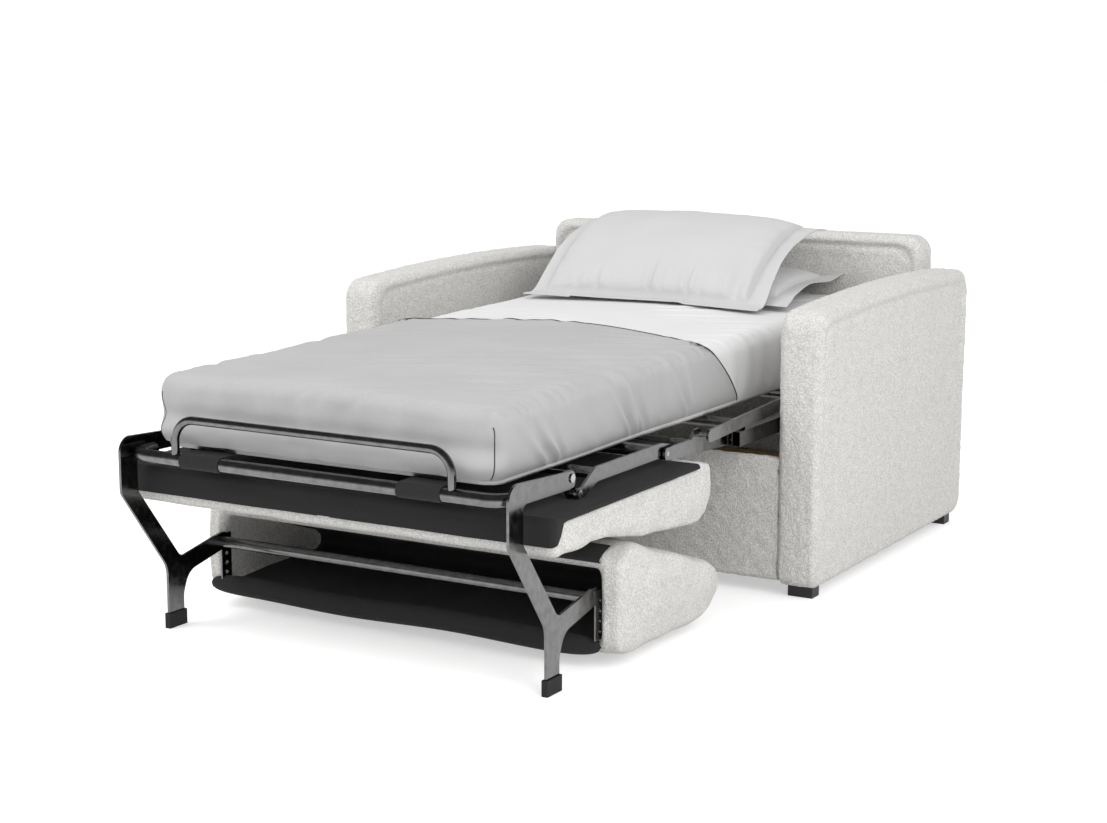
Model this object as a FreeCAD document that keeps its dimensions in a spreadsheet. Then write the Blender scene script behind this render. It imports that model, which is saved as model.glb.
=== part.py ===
import FreeCAD, Part
import math
import os
import re
import Sketcher
from FreeCAD import Placement, Rotation, Vector

doc = FreeCAD.newDocument("ChairBed")

# Driving sizes in millimetres. The chair faces -Y, X is across, Z is up and z = 0 is the floor.
# Lengths along Y and Z that name a place are measured from the middle of the open bed and the floor.
SIZES = {
    "seat_gap": 565, "arm_width": 100, "arm_front": 40, "arm_length": 980, "arm_lift": 30,
    "arm_front_top": 672, "arm_middle_top": 692, "arm_rear_top": 683, "arm_corner": 46,
    "arm_foot_corner": 24, "arm_edge": 16,
    "cover_wall": 18, "frame_inset": 26, "frame_board": 22, "frame_post": 60,
    "back_thickness": 82, "back_top": 770, "back_corner": 48, "back_side_gap": 0.3,
    "rail_setback": 10, "rail_thickness": 25, "rail_top": 330, "rail_drop": 6, "rail_round": 8,
    "rear_rail_height": 90,
    "glide_width": 62, "glide_depth": 40, "glide_inset": 30,
    "base_rail_thickness": 15, "base_rail_bottom": 62, "base_rail_height": 106, "base_rail_length": 760,
    "swing_pivot_y": 218, "swing_pivot_z": 115, "swing_top_y": 169, "swing_top_z": 395,
    "swing_spacing": 375, "swing_width": 30, "swing_thickness": 6, "swing_gap": 3,
    "link_rear_y": 136, "link_rear_z": 448, "link_front_y": -258, "link_front_z": 431,
    "link_height": 28, "link_thickness": 6, "link_gap": 1,
    "middle_tube_width": 20, "middle_tube_height": 35, "middle_tube_gap": 3,
    "knee_y": -77, "knee_z": 392, "knee_height": 26, "knee_thickness": 6, "knee_gap": 5,
    "fold_y": -397, "fold_z": 412, "seat_bar_thickness": 6, "seat_bar_gap": 3,
    "seat_bar_top": 436, "seat_bar_bottom": 405,
    "leg_pivot_y": -781, "leg_pivot_z": 427, "leg_thickness": 6, "leg_gap": 2,
    "leg_foot_y": -855, "leg_width": 50, "leg_front_y": -1020, "leg_top": 455, "leg_cap_height": 34,
    "leg_cap_sole": 8, "leg_cap_wall": 4,
    "coupler_thickness": 6, "rivet_forward": 17, "rivet_drop": 35,
    "pin_radius": 5, "pin_head": 9, "pin_play": 0.3, "pin_tail": 2, "head_thickness": 2.5,
    "foot_tube_radius": 14.5, "foot_tube_z": 417, "foot_tube_setback": 20, "foot_tube_bend": 45,
    "foot_tube_return": 70,
    "stop_bar_radius": 9, "stop_bar_root": 6, "stop_bar_half": 347, "stop_bar_top": 505, "stop_bar_bend": 50,
    "leg_cross_y": -690, "leg_cross_z": 158, "leg_cross_radius": 12.5,
    "deck_radius": 12, "deck_top": 431, "tube_wall": 1.5, "deck_gap": 0.3, "seat_deck_front": 100,
    "seat_deck_rear": 34, "middle_cross_front": 40, "middle_cross_rear": 50, "head_cross_front": 60,
    "head_cross_rear": 12, "tube_end": 15,
    "webbing_centre": 275, "webbing_width": 103, "webbing_thickness": 2,
    "head_pivot_y": 500, "head_pivot_z": 394.5, "head_half": 470, "head_bar_width": 20,
    "head_bar_height": 25, "head_frame_setback": 188, "head_rod_radius": 8,
    "mattress_half": 425, "mattress_foot_y": -955, "mattress_head_setback": 33,
    "mattress_foot_top": 580, "mattress_head_top": 606, "mattress_crown": 10, "mattress_corner": 34,
    "blanket_thickness": 7, "blanket_end_y": -110, "blanket_hem": 446, "bedding_gap": 0.3,
    "seat_half": 550, "seat_foot_y": -950, "seat_chair_y": -243, "cushion_gap": 0.3,
    "seat_under_foot": 309, "seat_under_chair": 238, "chair_end_drop": 22, "seat_corner": 26,
    "seat_edge": 9,
    "lining_thickness": 2, "lining_margin": 12,
    "back_pad_half": 555, "back_pad_wall": 63, "back_pad_front_y": -680, "back_pad_rear_y": -212,
    "back_pad_floor": 30, "back_pad_front_top": 268, "back_pad_rear_top": 150,
    "back_pad_corner": 40, "back_pad_edge": 11,
    "hollow_floor": 58, "hollow_front_top": 236, "hollow_rear_top": 112, "hollow_depth": 372,
    "bracket_thickness": 3, "bracket_width": 34, "bracket_drop": 92,
    "pillow_half": 335, "pillow_depth": 400, "rear_pillow_height": 96, "front_pillow_height": 122,
    "rear_pillow_x": 45, "rear_pillow_setback": 233, "front_pillow_x": -40, "front_pillow_setback": 288,
    "front_pillow_rise": 113.5, "front_pillow_tilt": 30,
}

sheet = doc.addObject("Spreadsheet::Sheet", "Sizes")
for row, (alias, value) in enumerate(SIZES.items(), start=1):
    sheet.set("A%d" % row, alias)
    sheet.set("B%d" % row, str(value))
    sheet.setAlias("B%d" % row, alias)
doc.recompute()

ALIAS = re.compile(r"\b(" + "|".join(sorted(SIZES, key=len, reverse=True)) + r")\b")


def bound(text):
    """An expression over sheet aliases, as the document wants it."""
    return ALIAS.sub(r"Sizes.\1", str(text))


class SheetValues:
    """Numbers read back from the sheet, for shapes set by code."""

    def __getattr__(self, alias):
        return float(sheet.get(alias))


size = SheetValues()
NODES = []


def node(label, thing):
    """Give an object the name its file takes, and keep it for writing."""
    thing.Label = label
    NODES.append((label, thing))
    return thing


# Planes across the chair, from the arm inwards. Each one is worked out from its neighbour.
RAIL_IN = "(seat_gap - base_rail_thickness)"
SWING_OUT = "(seat_gap - base_rail_thickness - swing_gap)"
SWING_IN = "(" + SWING_OUT + " - swing_thickness)"
LINK_OUT = "(" + SWING_IN + " - link_gap)"
LINK_IN = "(" + LINK_OUT + " - link_thickness)"
TUBE_OUT = "(" + LINK_IN + " - middle_tube_gap)"
TUBE_IN = "(" + TUBE_OUT + " - middle_tube_width)"
KNEE_OUT = "(" + TUBE_IN + " - knee_gap)"
KNEE_IN = "(" + KNEE_OUT + " - knee_thickness)"
SEAT_BAR_OUT = "(" + KNEE_IN + " - seat_bar_gap)"
SEAT_BAR_IN = "(" + SEAT_BAR_OUT + " - seat_bar_thickness)"
LEG_OUT = "(" + SEAT_BAR_IN + " - leg_gap)"
LEG_IN = "(" + LEG_OUT + " - leg_thickness)"
COUPLER_OUT = "(" + LEG_IN + " - leg_gap)"
COUPLER_IN = "(" + COUPLER_OUT + " - coupler_thickness)"
# The bed's head end is set back from the front face of the chair's back.
BACK_FRONT = "(arm_front + arm_length - back_thickness)"
HEAD_END = "(" + BACK_FRONT + " - head_frame_setback)"
MATTRESS_HEAD = "(" + BACK_FRONT + " - mattress_head_setback)"
# The seat cushion's lining lies just under the couplers that it is screwed to.
RIVET_Y = "(leg_pivot_y + rivet_forward)"
RIVET_Z = "(leg_pivot_z - rivet_drop)"
LINING_TOP = "(leg_pivot_z - rivet_drop - pin_head - cushion_gap)"


def number(text):
    """The value of one expression, worked out by a throwaway cell of the sheet."""
    sheet.set("D1", "=" + re.sub(r"Sizes\.", "", bound(text)))
    sheet.recompute()
    value = float(sheet.get("D1"))
    sheet.clear("D1")
    return value


def block(name, x, y, z, length, width, height):
    """A box from its lowest corner and its three sizes."""
    box = doc.addObject("Part::Box", name)
    for field, text in (("Length", length), ("Width", width), ("Height", height),
                        ("Placement.Base.x", x), ("Placement.Base.y", y), ("Placement.Base.z", z)):
        box.setExpression(field, bound(text))
    return box


def rod(name, x, y, z, radius, length):
    """A round bar along X, from its low end."""
    bar = doc.addObject("Part::Cylinder", name)
    bar.Placement = Placement(Vector(), Rotation(Vector(0, 1, 0), 90))
    for field, text in (("Radius", radius), ("Height", length), ("Placement.Base.x", x),
                        ("Placement.Base.y", y), ("Placement.Base.z", z)):
        bar.setExpression(field, bound(text))
    return bar


def both_sides(name, x, y, z, radius, length):
    """The same round bar on the right and, mirrored, on the left."""
    right = rod(name + "_right", x, y, z, radius, length)
    left = rod(name + "_left", "-(" + x + ") - (" + length + ")", y, z, radius, length)
    return [right, left]


def cut(name, base, tool):
    made = doc.addObject("Part::Cut", name)
    made.Base = base
    made.Tool = tool
    return made


def joined(name, shapes):
    made = doc.addObject("Part::MultiFuse", name)
    made.Shapes = shapes
    return made


def group(name, shapes):
    made = doc.addObject("Part::Compound", name)
    made.Links = shapes
    return made


def pipe(name, x, y, z, radius, length):
    """A hollow tube along X."""
    outer = rod(name + "_outer", x, y, z, radius, length)
    bore = rod(name + "_bore", x, y, z, "(" + radius + ") - tube_wall", length)
    return cut(name, outer, bore)


def stands_at(edge, places):
    """Whether an edge runs across the chair from one of the outline's corners."""
    box = edge.BoundBox
    if box.XLength < 1e-6 or box.YLength > 1e-6 or box.ZLength > 1e-6:
        return False
    return any(abs(box.YMin - p.x) < 1e-4 and abs(box.ZMin - p.y) < 1e-4 for p in places)


def plate(label, inner, thickness, corners, rounds, holes=()):
    """A flat plate in a plane across X: an outline in Y and Z, rounded corners and round holes."""
    body = doc.addObject("PartDesign::Body", label)
    plane = [f for f in body.Origin.OriginFeatures if f.Role == "YZ_Plane"][0]
    outline = body.newObject("Sketcher::SketchObject", label + "_outline")
    outline.AttachmentSupport = [(plane, "")]
    outline.MapMode = "FlatFace"
    outline.setExpression("AttachmentOffset.Base.z", bound(inner))
    count = len(corners)
    seed = [Vector(math.cos(2 * math.pi * i / count), math.sin(2 * math.pi * i / count), 0) * 400
            for i in range(count)]
    for i in range(count):
        outline.addGeometry(Part.LineSegment(seed[i], seed[(i + 1) % count]), False)
    for i in range(count):
        following = Sketcher.Constraint("Coincident", i, 2, (i + 1) % count, 1)
        outline.addConstraint(following)
    for i, (across, up) in enumerate(corners):
        for kind, text in (("DistanceX", across), ("DistanceY", up)):
            index = outline.addConstraint(Sketcher.Constraint(kind, -1, 1, i, 1, 1.0))
            outline.setExpression("Constraints[%d]" % index, bound(text))
    doc.recompute()
    pad = body.newObject("PartDesign::Pad", label + "_pad")
    pad.Profile = outline
    pad.setExpression("Length", bound(thickness))
    doc.recompute()
    for radius in sorted(set(rounds.values()), reverse=True):
        places = [outline.Geometry[i].StartPoint for i in rounds if rounds[i] == radius]
        sharp = body.Tip
        edges = ["Edge%d" % k for k, edge in enumerate(sharp.Shape.Edges, start=1)
                 if stands_at(edge, places)]
        fillet = body.newObject("PartDesign::Fillet", "%s_round_%d" % (label, radius))
        fillet.Base = (sharp, edges)
        fillet.Radius = radius
        doc.recompute()
    if holes:
        drill = body.newObject("Sketcher::SketchObject", label + "_holes")
        drill.AttachmentSupport = [(plane, "")]
        drill.MapMode = "FlatFace"
        drill.setExpression("AttachmentOffset.Base.z", bound(inner))
        for k, (across, up, radius) in enumerate(holes):
            drill.addGeometry(Part.Circle(Vector(number(across), number(up), 0), Vector(0, 0, 1), 3), False)
            for kind, text in (("DistanceX", across), ("DistanceY", up)):
                index = drill.addConstraint(Sketcher.Constraint(kind, -1, 1, k, 3, 1.0))
                drill.setExpression("Constraints[%d]" % index, bound(text))
            index = drill.addConstraint(Sketcher.Constraint("Radius", k, 3.0))
            drill.setExpression("Constraints[%d]" % index, bound(radius))
        pocket = body.newObject("PartDesign::Pocket", label + "_drilled")
        pocket.Profile = drill
        pocket.Reversed = True
        pocket.setExpression("Length", bound(thickness))
        doc.recompute()
    return body


def mirrored(name, source):
    """The same piece on the other side of the chair."""
    twin = doc.addObject("Part::Mirroring", name)
    twin.Source = source
    twin.Base = Vector(0, 0, 0)
    twin.Normal = Vector(1, 0, 0)
    return twin


def pair(stem, right):
    """A right-hand piece and its left-hand twin, each in its own node."""
    node("right_" + stem, right)
    return node("left_" + stem, mirrored("left_" + stem, right))


def feature(label, shape):
    """A piece whose shape is set by code, from the sheet's values."""
    made = doc.addObject("Part::Feature", label)
    made.Shape = shape
    return made


def wire_yz(points, x):
    """A closed outline at one X: pairs are corners, triples hold the middle of an arc to the next."""
    edges = []
    here = [Vector(x, p[0], p[1]) for p in points]
    for i, p in enumerate(points):
        start, stop = here[i], here[(i + 1) % len(points)]
        if len(p) == 3:
            edges.append(Part.Arc(start, Vector(x, p[2][0], p[2][1]), stop).toShape())
        else:
            edges.append(Part.LineSegment(start, stop).toShape())
    return Part.Wire(edges)


def slab(points, x_low, x_high, rounds=None, edge=0.0):
    """An outline in Y and Z carried across X: first its corners are rounded, then its rims."""
    solid = Part.Face(wire_yz(points, x_low)).extrude(Vector(x_high - x_low, 0, 0))
    for radius in sorted(set((rounds or {}).values()), reverse=True):
        places = [Vector(points[i][0], points[i][1], 0) for i in rounds if rounds[i] == radius]
        solid = solid.makeFillet(radius, [e for e in solid.Edges if stands_at(e, places)])
    if edge:
        rims = [e for e in solid.Edges if e.BoundBox.XLength < 1e-6]
        solid = solid.makeFillet(edge, rims)
    return solid


def rounded_rectangle(y, half, low, high, corner, crown):
    """An outline across the bed at one Y, with round corners and a crowned top."""
    r = corner
    k = r * (1 - math.sqrt(0.5))
    points = [(-half, low + r), (-half, high - r), (-half + r, high), (half - r, high),
              (half, high - r), (half, low + r), (half - r, low), (-half + r, low)]
    v = [Vector(px, y, pz) for px, pz in points]
    edges = [
        Part.LineSegment(v[0], v[1]),
        Part.Arc(v[1], Vector(-half + k, y, high - k), v[2]),
        Part.Arc(v[2], Vector(0, y, high + crown), v[3]),
        Part.Arc(v[3], Vector(half - k, y, high - k), v[4]),
        Part.LineSegment(v[4], v[5]),
        Part.Arc(v[5], Vector(half - k, y, low + k), v[6]),
        Part.LineSegment(v[6], v[7]),
        Part.Arc(v[7], Vector(-half + k, y, low + k), v[0]),
    ]
    return Part.Wire([e.toShape() for e in edges])


def bar_along(points, radius, bend):
    """A round bar along a route of straight runs joined by arcs of one radius."""
    edges = []
    start = points[0]
    for i in range(1, len(points) - 1):
        before = (points[i] - points[i - 1]).normalize()
        after = (points[i + 1] - points[i]).normalize()
        turn = before.getAngle(after)
        reach = bend * math.tan(turn / 2)
        enter = points[i] - before * reach
        leave = points[i] + after * reach
        inward = (after - before).normalize()
        middle = points[i] + inward * (bend / math.cos(turn / 2) - bend)
        edges.append(Part.LineSegment(start, enter).toShape())
        edges.append(Part.Arc(enter, middle, leave).toShape())
        start = leave
    edges.append(Part.LineSegment(start, points[-1]).toShape())
    spine = Part.Wire(edges)
    direction = (points[1] - points[0]).normalize()
    ring = Part.Wire([Part.Circle(points[0], direction, radius).toShape()])
    return Part.Wire(spine).makePipeShell([ring], True, True)


# Chair shell: two upholstered arms and a back over timber frames, a front rail and a rear rail.
arm_rear = size.arm_front + size.arm_length
arm_middle = size.arm_front + 0.5 * size.arm_length


def arm_form(inset, edge):
    """The arm, drawn in by an inset: an arched top, large corners above and small ones below."""
    low, front, rear = size.arm_lift + inset, size.arm_front + inset, arm_rear - inset
    outline = [(front, low), (front, size.arm_front_top - inset, (arm_middle, size.arm_middle_top - inset)),
               (rear, size.arm_rear_top - inset), (rear, low)]
    return slab(outline, size.seat_gap + inset, size.seat_gap + size.arm_width - inset,
                {0: size.arm_foot_corner, 1: size.arm_corner, 2: size.arm_corner, 3: size.arm_foot_corner},
                edge)


arm_solid = arm_form(0.0, size.arm_edge)
arm_core = arm_form(size.cover_wall, 0.0)
pair("arm_cover", feature("right_arm_cover", arm_solid.cut(arm_core)))

board_x = "seat_gap + cover_wall"
board_y = "arm_front + frame_inset"
board_low = "arm_lift + frame_inset"
board_length = "arm_length - 2 * frame_inset"
post_height = "arm_front_top - arm_corner - arm_lift - 2 * frame_inset"
frame_low_rail = block("arm_low_rail", board_x, board_y, board_low, "frame_board", board_length, "frame_post")
frame_front_post = block("arm_front_post", board_x, board_y, board_low, "frame_board", "frame_post",
                         post_height)
frame_rear_post = block("arm_rear_post", board_x, "arm_front + arm_length - frame_inset - frame_post",
                        board_low, "frame_board", "frame_post", post_height)
frame_top_rail = block("arm_top_rail", board_x, board_y,
                       "arm_front_top - arm_corner - frame_inset - frame_post", "frame_board",
                       board_length, "frame_post")
arm_frame = joined("right_arm_frame", [frame_low_rail, frame_front_post, frame_rear_post, frame_top_rail])
pair("arm_frame", arm_frame)

back_half = size.seat_gap - size.back_side_gap
back_front = arm_rear - size.back_thickness
back_low = size.arm_lift + size.rail_drop


def back_outline(inset):
    """The back seen from the front: a rectangle with round top corners."""
    half, low, high = back_half - inset, back_low + inset, size.back_top - inset
    r = size.back_corner - inset
    k = r * (1 - math.sqrt(0.5))
    y = back_front + inset
    v = [Vector(px, y, pz) for px, pz in ((-half, low), (-half, high - r), (-half + r, high),
                                          (half - r, high), (half, high - r), (half, low))]
    edges = [
        Part.LineSegment(v[0], v[1]), Part.Arc(v[1], Vector(-half + k, y, high - k), v[2]),
        Part.LineSegment(v[2], v[3]), Part.Arc(v[3], Vector(half - k, y, high - k), v[4]),
        Part.LineSegment(v[4], v[5]), Part.LineSegment(v[5], v[0]),
    ]
    return Part.Wire([e.toShape() for e in edges])


back_solid = Part.Face(back_outline(0.0)).extrude(Vector(0, size.back_thickness, 0))
back_rims = [e for e in back_solid.Edges if abs(e.BoundBox.YMax - e.BoundBox.YMin) < 1e-6
             and e.BoundBox.ZMax > back_low + size.back_corner]
back_solid = back_solid.makeFillet(size.arm_edge, back_rims)
back_core = Part.Face(back_outline(size.cover_wall)).extrude(
    Vector(0, size.back_thickness - 2 * size.cover_wall, 0))
node("back_cover", feature("back_cover", back_solid.cut(back_core)))
node("back_frame", joined("back_frame", [
    block("back_low_board", "-(seat_gap - back_side_gap - cover_wall)",
          "arm_front + arm_length - back_thickness + cover_wall", "arm_lift + rail_drop + cover_wall",
          "2 * (seat_gap - back_side_gap - cover_wall)", "frame_board", "frame_post"),
    block("back_left_post", "-(seat_gap - back_side_gap - cover_wall)",
          "arm_front + arm_length - back_thickness + cover_wall", "arm_lift + rail_drop + cover_wall",
          "frame_post", "frame_board", "back_top - arm_lift - rail_drop - 2 * cover_wall - back_corner"),
    block("back_right_post", "seat_gap - back_side_gap - cover_wall - frame_post",
          "arm_front + arm_length - back_thickness + cover_wall", "arm_lift + rail_drop + cover_wall",
          "frame_post", "frame_board", "back_top - arm_lift - rail_drop - 2 * cover_wall - back_corner"),
    block("back_high_board", "-(seat_gap - back_side_gap - cover_wall)",
          "arm_front + arm_length - back_thickness + cover_wall",
          "back_top - cover_wall - back_corner - frame_post",
          "2 * (seat_gap - back_side_gap - cover_wall)", "frame_board", "frame_post"),
]))

rail_low = size.arm_lift + size.rail_drop
rail_box = Part.makeBox(2 * size.seat_gap, size.rail_thickness, size.rail_top - rail_low,
                        Vector(-size.seat_gap, size.arm_front + size.rail_setback, rail_low))
rail_rims = [e for e in rail_box.Edges if e.BoundBox.XLength > size.seat_gap]
node("front_rail", feature("front_rail", rail_box.makeFillet(size.rail_round, rail_rims)))
node("rear_rail", block("rear_rail", "-(seat_gap - base_rail_thickness)",
                        "arm_front + arm_length - back_thickness - frame_board", "base_rail_bottom",
                        "2 * (seat_gap - base_rail_thickness)", "frame_board", "rear_rail_height"))

glides = []
for side in (-1, 1):
    for end in (0, 1):
        x = "seat_gap + (arm_width - glide_width) / 2" if side > 0 else \
            "-seat_gap - (arm_width + glide_width) / 2"
        y = "arm_front + glide_inset" if end == 0 else \
            "arm_front + arm_length - glide_inset - glide_depth"
        glides.append(block("glide_%d_%d" % (side + 1, end), x, y, "0", "glide_width", "glide_depth",
                            "arm_lift"))
node("chair_glides", group("chair_glides", glides))

base_rail_y = "arm_front + rail_setback + rail_thickness"
base_rail_holes = [("swing_pivot_y", "swing_pivot_z", "pin_radius"),
                   ("swing_pivot_y + swing_spacing", "swing_pivot_z", "pin_radius")]
base_rail = plate("right_base_rail", RAIL_IN, "base_rail_thickness",
                  [(base_rail_y, "base_rail_bottom"),
                   (base_rail_y + " + base_rail_length", "base_rail_bottom"),
                   (base_rail_y + " + base_rail_length", "base_rail_bottom + base_rail_height"),
                   (base_rail_y, "base_rail_bottom + base_rail_height")], {}, base_rail_holes)
pair("base_rail", base_rail)

swing_pins = []
for end in (0, 1):
    across = "swing_pivot_y + %d * swing_spacing" % end
    swing_pins += both_sides("swing_pin_%d" % end, SWING_IN + " - pin_tail", across, "swing_pivot_z",
                             "pin_radius", "seat_gap - " + SWING_IN + " + pin_tail")
node("swing_pivot_pins", group("swing_pivot_pins", swing_pins))

# Swing arms: the front pair carries the rear end of the upper link on a raised horn.
half_arm = "swing_width / 2"
swing_front = plate(
    "right_front_swing_arm", SWING_IN, "swing_thickness",
    [("swing_pivot_y - " + half_arm, "swing_pivot_z - " + half_arm),
     ("swing_pivot_y + " + half_arm, "swing_pivot_z - " + half_arm),
     ("swing_top_y + " + half_arm, "swing_top_z + " + half_arm),
     ("link_rear_y + 12", "link_rear_z + 14"), ("link_rear_y - 14", "link_rear_z + 14"),
     ("link_rear_y - 14", "link_rear_z - 12"), ("swing_top_y - " + half_arm, "swing_top_z - 30")],
    {0: 10, 1: 10, 2: 14, 3: 8, 4: 8, 5: 8, 6: 12},
    [("swing_pivot_y", "swing_pivot_z", "pin_radius + pin_play"),
     ("swing_top_y", "swing_top_z", "pin_radius + pin_play"),
     ("link_rear_y", "link_rear_z", "pin_radius")])
pair("front_swing_arm", swing_front)
rear_y = "swing_spacing"
swing_rear = plate(
    "right_rear_swing_arm", SWING_IN, "swing_thickness",
    [("swing_pivot_y + swing_spacing - 12", "swing_pivot_z - 12"),
     ("swing_pivot_y + swing_spacing + 12", "swing_pivot_z - 12"),
     ("swing_top_y + swing_spacing + 12", "swing_top_z + 12"),
     ("swing_top_y + swing_spacing - 12", "swing_top_z + 12")],
    {0: 10, 1: 10, 2: 10, 3: 10},
    [("swing_pivot_y + swing_spacing", "swing_pivot_z", "pin_radius + pin_play"),
     ("swing_top_y + swing_spacing", "swing_top_z", "pin_radius + pin_play")])
pair("rear_swing_arm", swing_rear)

# The two pins that carry the upper links on the horns.
node("link_rear_pins", group("link_rear_pins", both_sides(
    "link_rear_pin", LINK_IN + " - 1", "link_rear_y", "link_rear_z", "pin_radius",
    SWING_OUT + " - " + LINK_IN + " + 1")))

# Upper links run from the horns to studs on the knee bars.
half_link = "link_height / 2"
link = plate(
    "right_upper_link", LINK_IN, "link_thickness",
    [("link_front_y - " + half_link, "link_front_z - " + half_link),
     ("link_rear_y + " + half_link, "link_rear_z - " + half_link),
     ("link_rear_y + " + half_link, "link_rear_z + " + half_link),
     ("link_front_y - " + half_link, "link_front_z + " + half_link)],
    {0: 13, 1: 13, 2: 13, 3: 13},
    [("link_rear_y", "link_rear_z", "pin_radius + pin_play")])
pair("upper_link", link)

# Middle frame: two side tubes, two cross tubes, pivot pins and the rod of the head section.
tube_low = "swing_top_z - middle_tube_height / 2"
side_tubes = []
for side in (-1, 1):
    x_low = TUBE_IN if side > 0 else "-" + TUBE_OUT
    outer = block("middle_side_%d" % (side + 1), x_low, "knee_y - tube_end", tube_low, "middle_tube_width",
                  "head_pivot_y - knee_y + 2 * tube_end", "middle_tube_height")
    bore = block("middle_side_bore_%d" % (side + 1), x_low + " + tube_wall", "knee_y - tube_end",
                 tube_low + " + tube_wall", "middle_tube_width - 2 * tube_wall",
                 "head_pivot_y - knee_y + 2 * tube_end", "middle_tube_height - 2 * tube_wall")
    side_tubes.append(cut("middle_side_tube_%d" % (side + 1), outer, bore))
cross_z = "deck_top - deck_radius"
middle_cross = [pipe("middle_cross_%d" % k, "-" + TUBE_IN + " - 1", y, cross_z, "deck_radius",
                     "2 * " + TUBE_IN + " + 2")
                for k, y in enumerate(("knee_y + middle_cross_front", "head_pivot_y - middle_cross_rear"))]
node("middle_frame", joined("middle_frame", side_tubes + middle_cross))
middle_pins = both_sides("knee_pin", KNEE_IN + " - pin_tail", "knee_y", "knee_z", "pin_radius",
                         TUBE_IN + " - " + KNEE_IN + " + pin_tail")
for end in (0, 1):
    middle_pins += both_sides("swing_top_pin_%d" % end, TUBE_OUT, "swing_top_y + %d * swing_spacing" % end,
                              "swing_top_z", "pin_radius", SWING_OUT + " - " + TUBE_OUT + " + 1.5")
node("middle_pins", group("middle_pins", middle_pins))
node("head_hinge_rod", rod("head_hinge_rod", "-" + TUBE_IN, "head_pivot_y", "head_pivot_z",
                           "head_rod_radius", "2 * " + TUBE_IN))

# Knee bars: the short section between the middle frame and the seat section.
half_knee = "knee_height / 2"
knee = plate(
    "right_knee_bar", KNEE_IN, "knee_thickness",
    [("knee_y + 15", "knee_z - " + half_knee), ("knee_y + 15", "knee_z + " + half_knee),
     ("link_front_y + 26", "link_front_z - 10"), ("link_front_y + 14", "link_front_z + 13"),
     ("link_front_y - 14", "link_front_z + 13"), ("link_front_y - 26", "link_front_z - 6"),
     ("fold_y - 14", "fold_z + " + half_knee), ("fold_y - 14", "fold_z - " + half_knee)],
    {0: 10, 1: 10, 3: 9, 4: 9, 6: 10, 7: 10},
    [("knee_y", "knee_z", "pin_radius + pin_play"), ("fold_y", "fold_z", "pin_radius")])
pair("knee_bar", knee)
knee_pins = both_sides("link_stud", KNEE_OUT, "link_front_y", "link_front_z", "pin_radius",
                       LINK_IN + " - pin_play - " + KNEE_OUT)
knee_pins += both_sides("fold_pin", SEAT_BAR_IN + " - pin_tail", "fold_y", "fold_z", "pin_radius",
                        KNEE_OUT + " - " + SEAT_BAR_IN + " + pin_tail")
node("knee_bar_pins", group("knee_bar_pins", knee_pins))
node("knee_cross_tube", pipe("knee_cross_tube", "-" + KNEE_IN, "(knee_y + fold_y) / 2",
                             "(knee_z + fold_z) / 2", "deck_radius", "2 * " + KNEE_IN))

# Seat section: two gooseneck bars, two deck tubes, the couplers, the seat cushion and its lining.
seat_bar = plate(
    "right_seat_bar", SEAT_BAR_IN, "seat_bar_thickness",
    [("leg_pivot_y + 1", "leg_pivot_z - rivet_drop - pin_head"), ("leg_pivot_y + 3", "leg_pivot_z - 24"),
     ("leg_pivot_y + 30", "leg_pivot_z - 22"), ("leg_pivot_y + 84", "seat_bar_top"),
     ("fold_y - 10", "seat_bar_top"), ("fold_y + 47", "seat_bar_top - 12"),
     ("fold_y + 50", "fold_z - 18"), ("fold_y + 24", "fold_z - 22"),
     ("fold_y - 30", "seat_bar_bottom"), ("leg_pivot_y + 92", "seat_bar_bottom"),
     ("leg_pivot_y + 36", "leg_pivot_z - rivet_drop - pin_head")],
    {0: 9, 1: 8, 3: 16, 5: 16, 6: 10, 10: 9, 9: 14},
    [("fold_y", "fold_z", "pin_radius + pin_play"), (RIVET_Y, RIVET_Z, "pin_radius")])
pair("seat_bar", seat_bar)
node("seat_deck_tubes", group("seat_deck_tubes", [
    pipe("seat_deck_%d" % k, "-" + SEAT_BAR_IN, y, cross_z, "deck_radius", "2 * " + SEAT_BAR_IN)
    for k, y in enumerate(("leg_pivot_y + seat_deck_front", "fold_y - seat_deck_rear"))]))
coupler = plate(
    "right_coupler", COUPLER_IN, "coupler_thickness",
    [("leg_pivot_y - 16", "leg_pivot_z - 14"), ("leg_pivot_y + 2", "leg_pivot_z - rivet_drop - pin_head"),
     ("leg_pivot_y + 34", "leg_pivot_z - rivet_drop - pin_head"), ("leg_pivot_y + 16", "leg_pivot_z + 14"),
     ("leg_pivot_y - 16", "leg_pivot_z + 14")],
    {0: 8, 1: 8, 2: 8, 3: 8, 4: 8},
    [("leg_pivot_y", "leg_pivot_z", "pin_radius"), (RIVET_Y, RIVET_Z, "pin_radius")])
pair("coupler", coupler)
leg_pins = both_sides("leg_pin", COUPLER_IN, "leg_pivot_y", "leg_pivot_z", "pin_radius",
                      LEG_OUT + " - " + COUPLER_IN + " + 1")
leg_heads = both_sides("leg_pin_head", LEG_OUT + " + 0.4", "leg_pivot_y", "leg_pivot_z", "pin_head",
                       "head_thickness")
node("leg_pivot_pins", group("leg_pivot_pins", [
    joined("leg_pivot_pin_%d" % k, [leg_pins[k], leg_heads[k]]) for k in (0, 1)]))
rivet_shanks = both_sides("seat_rivet", COUPLER_IN, RIVET_Y, RIVET_Z, "pin_radius",
                          SEAT_BAR_OUT + " - " + COUPLER_IN)
rivet_collars = both_sides("seat_rivet_collar", COUPLER_OUT, RIVET_Y, RIVET_Z,
                           "pin_radius + 1.2", SEAT_BAR_IN + " - " + COUPLER_OUT)
rivet_heads = both_sides("seat_rivet_head", SEAT_BAR_OUT, RIVET_Y, RIVET_Z,
                         "pin_head", "head_thickness")
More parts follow.
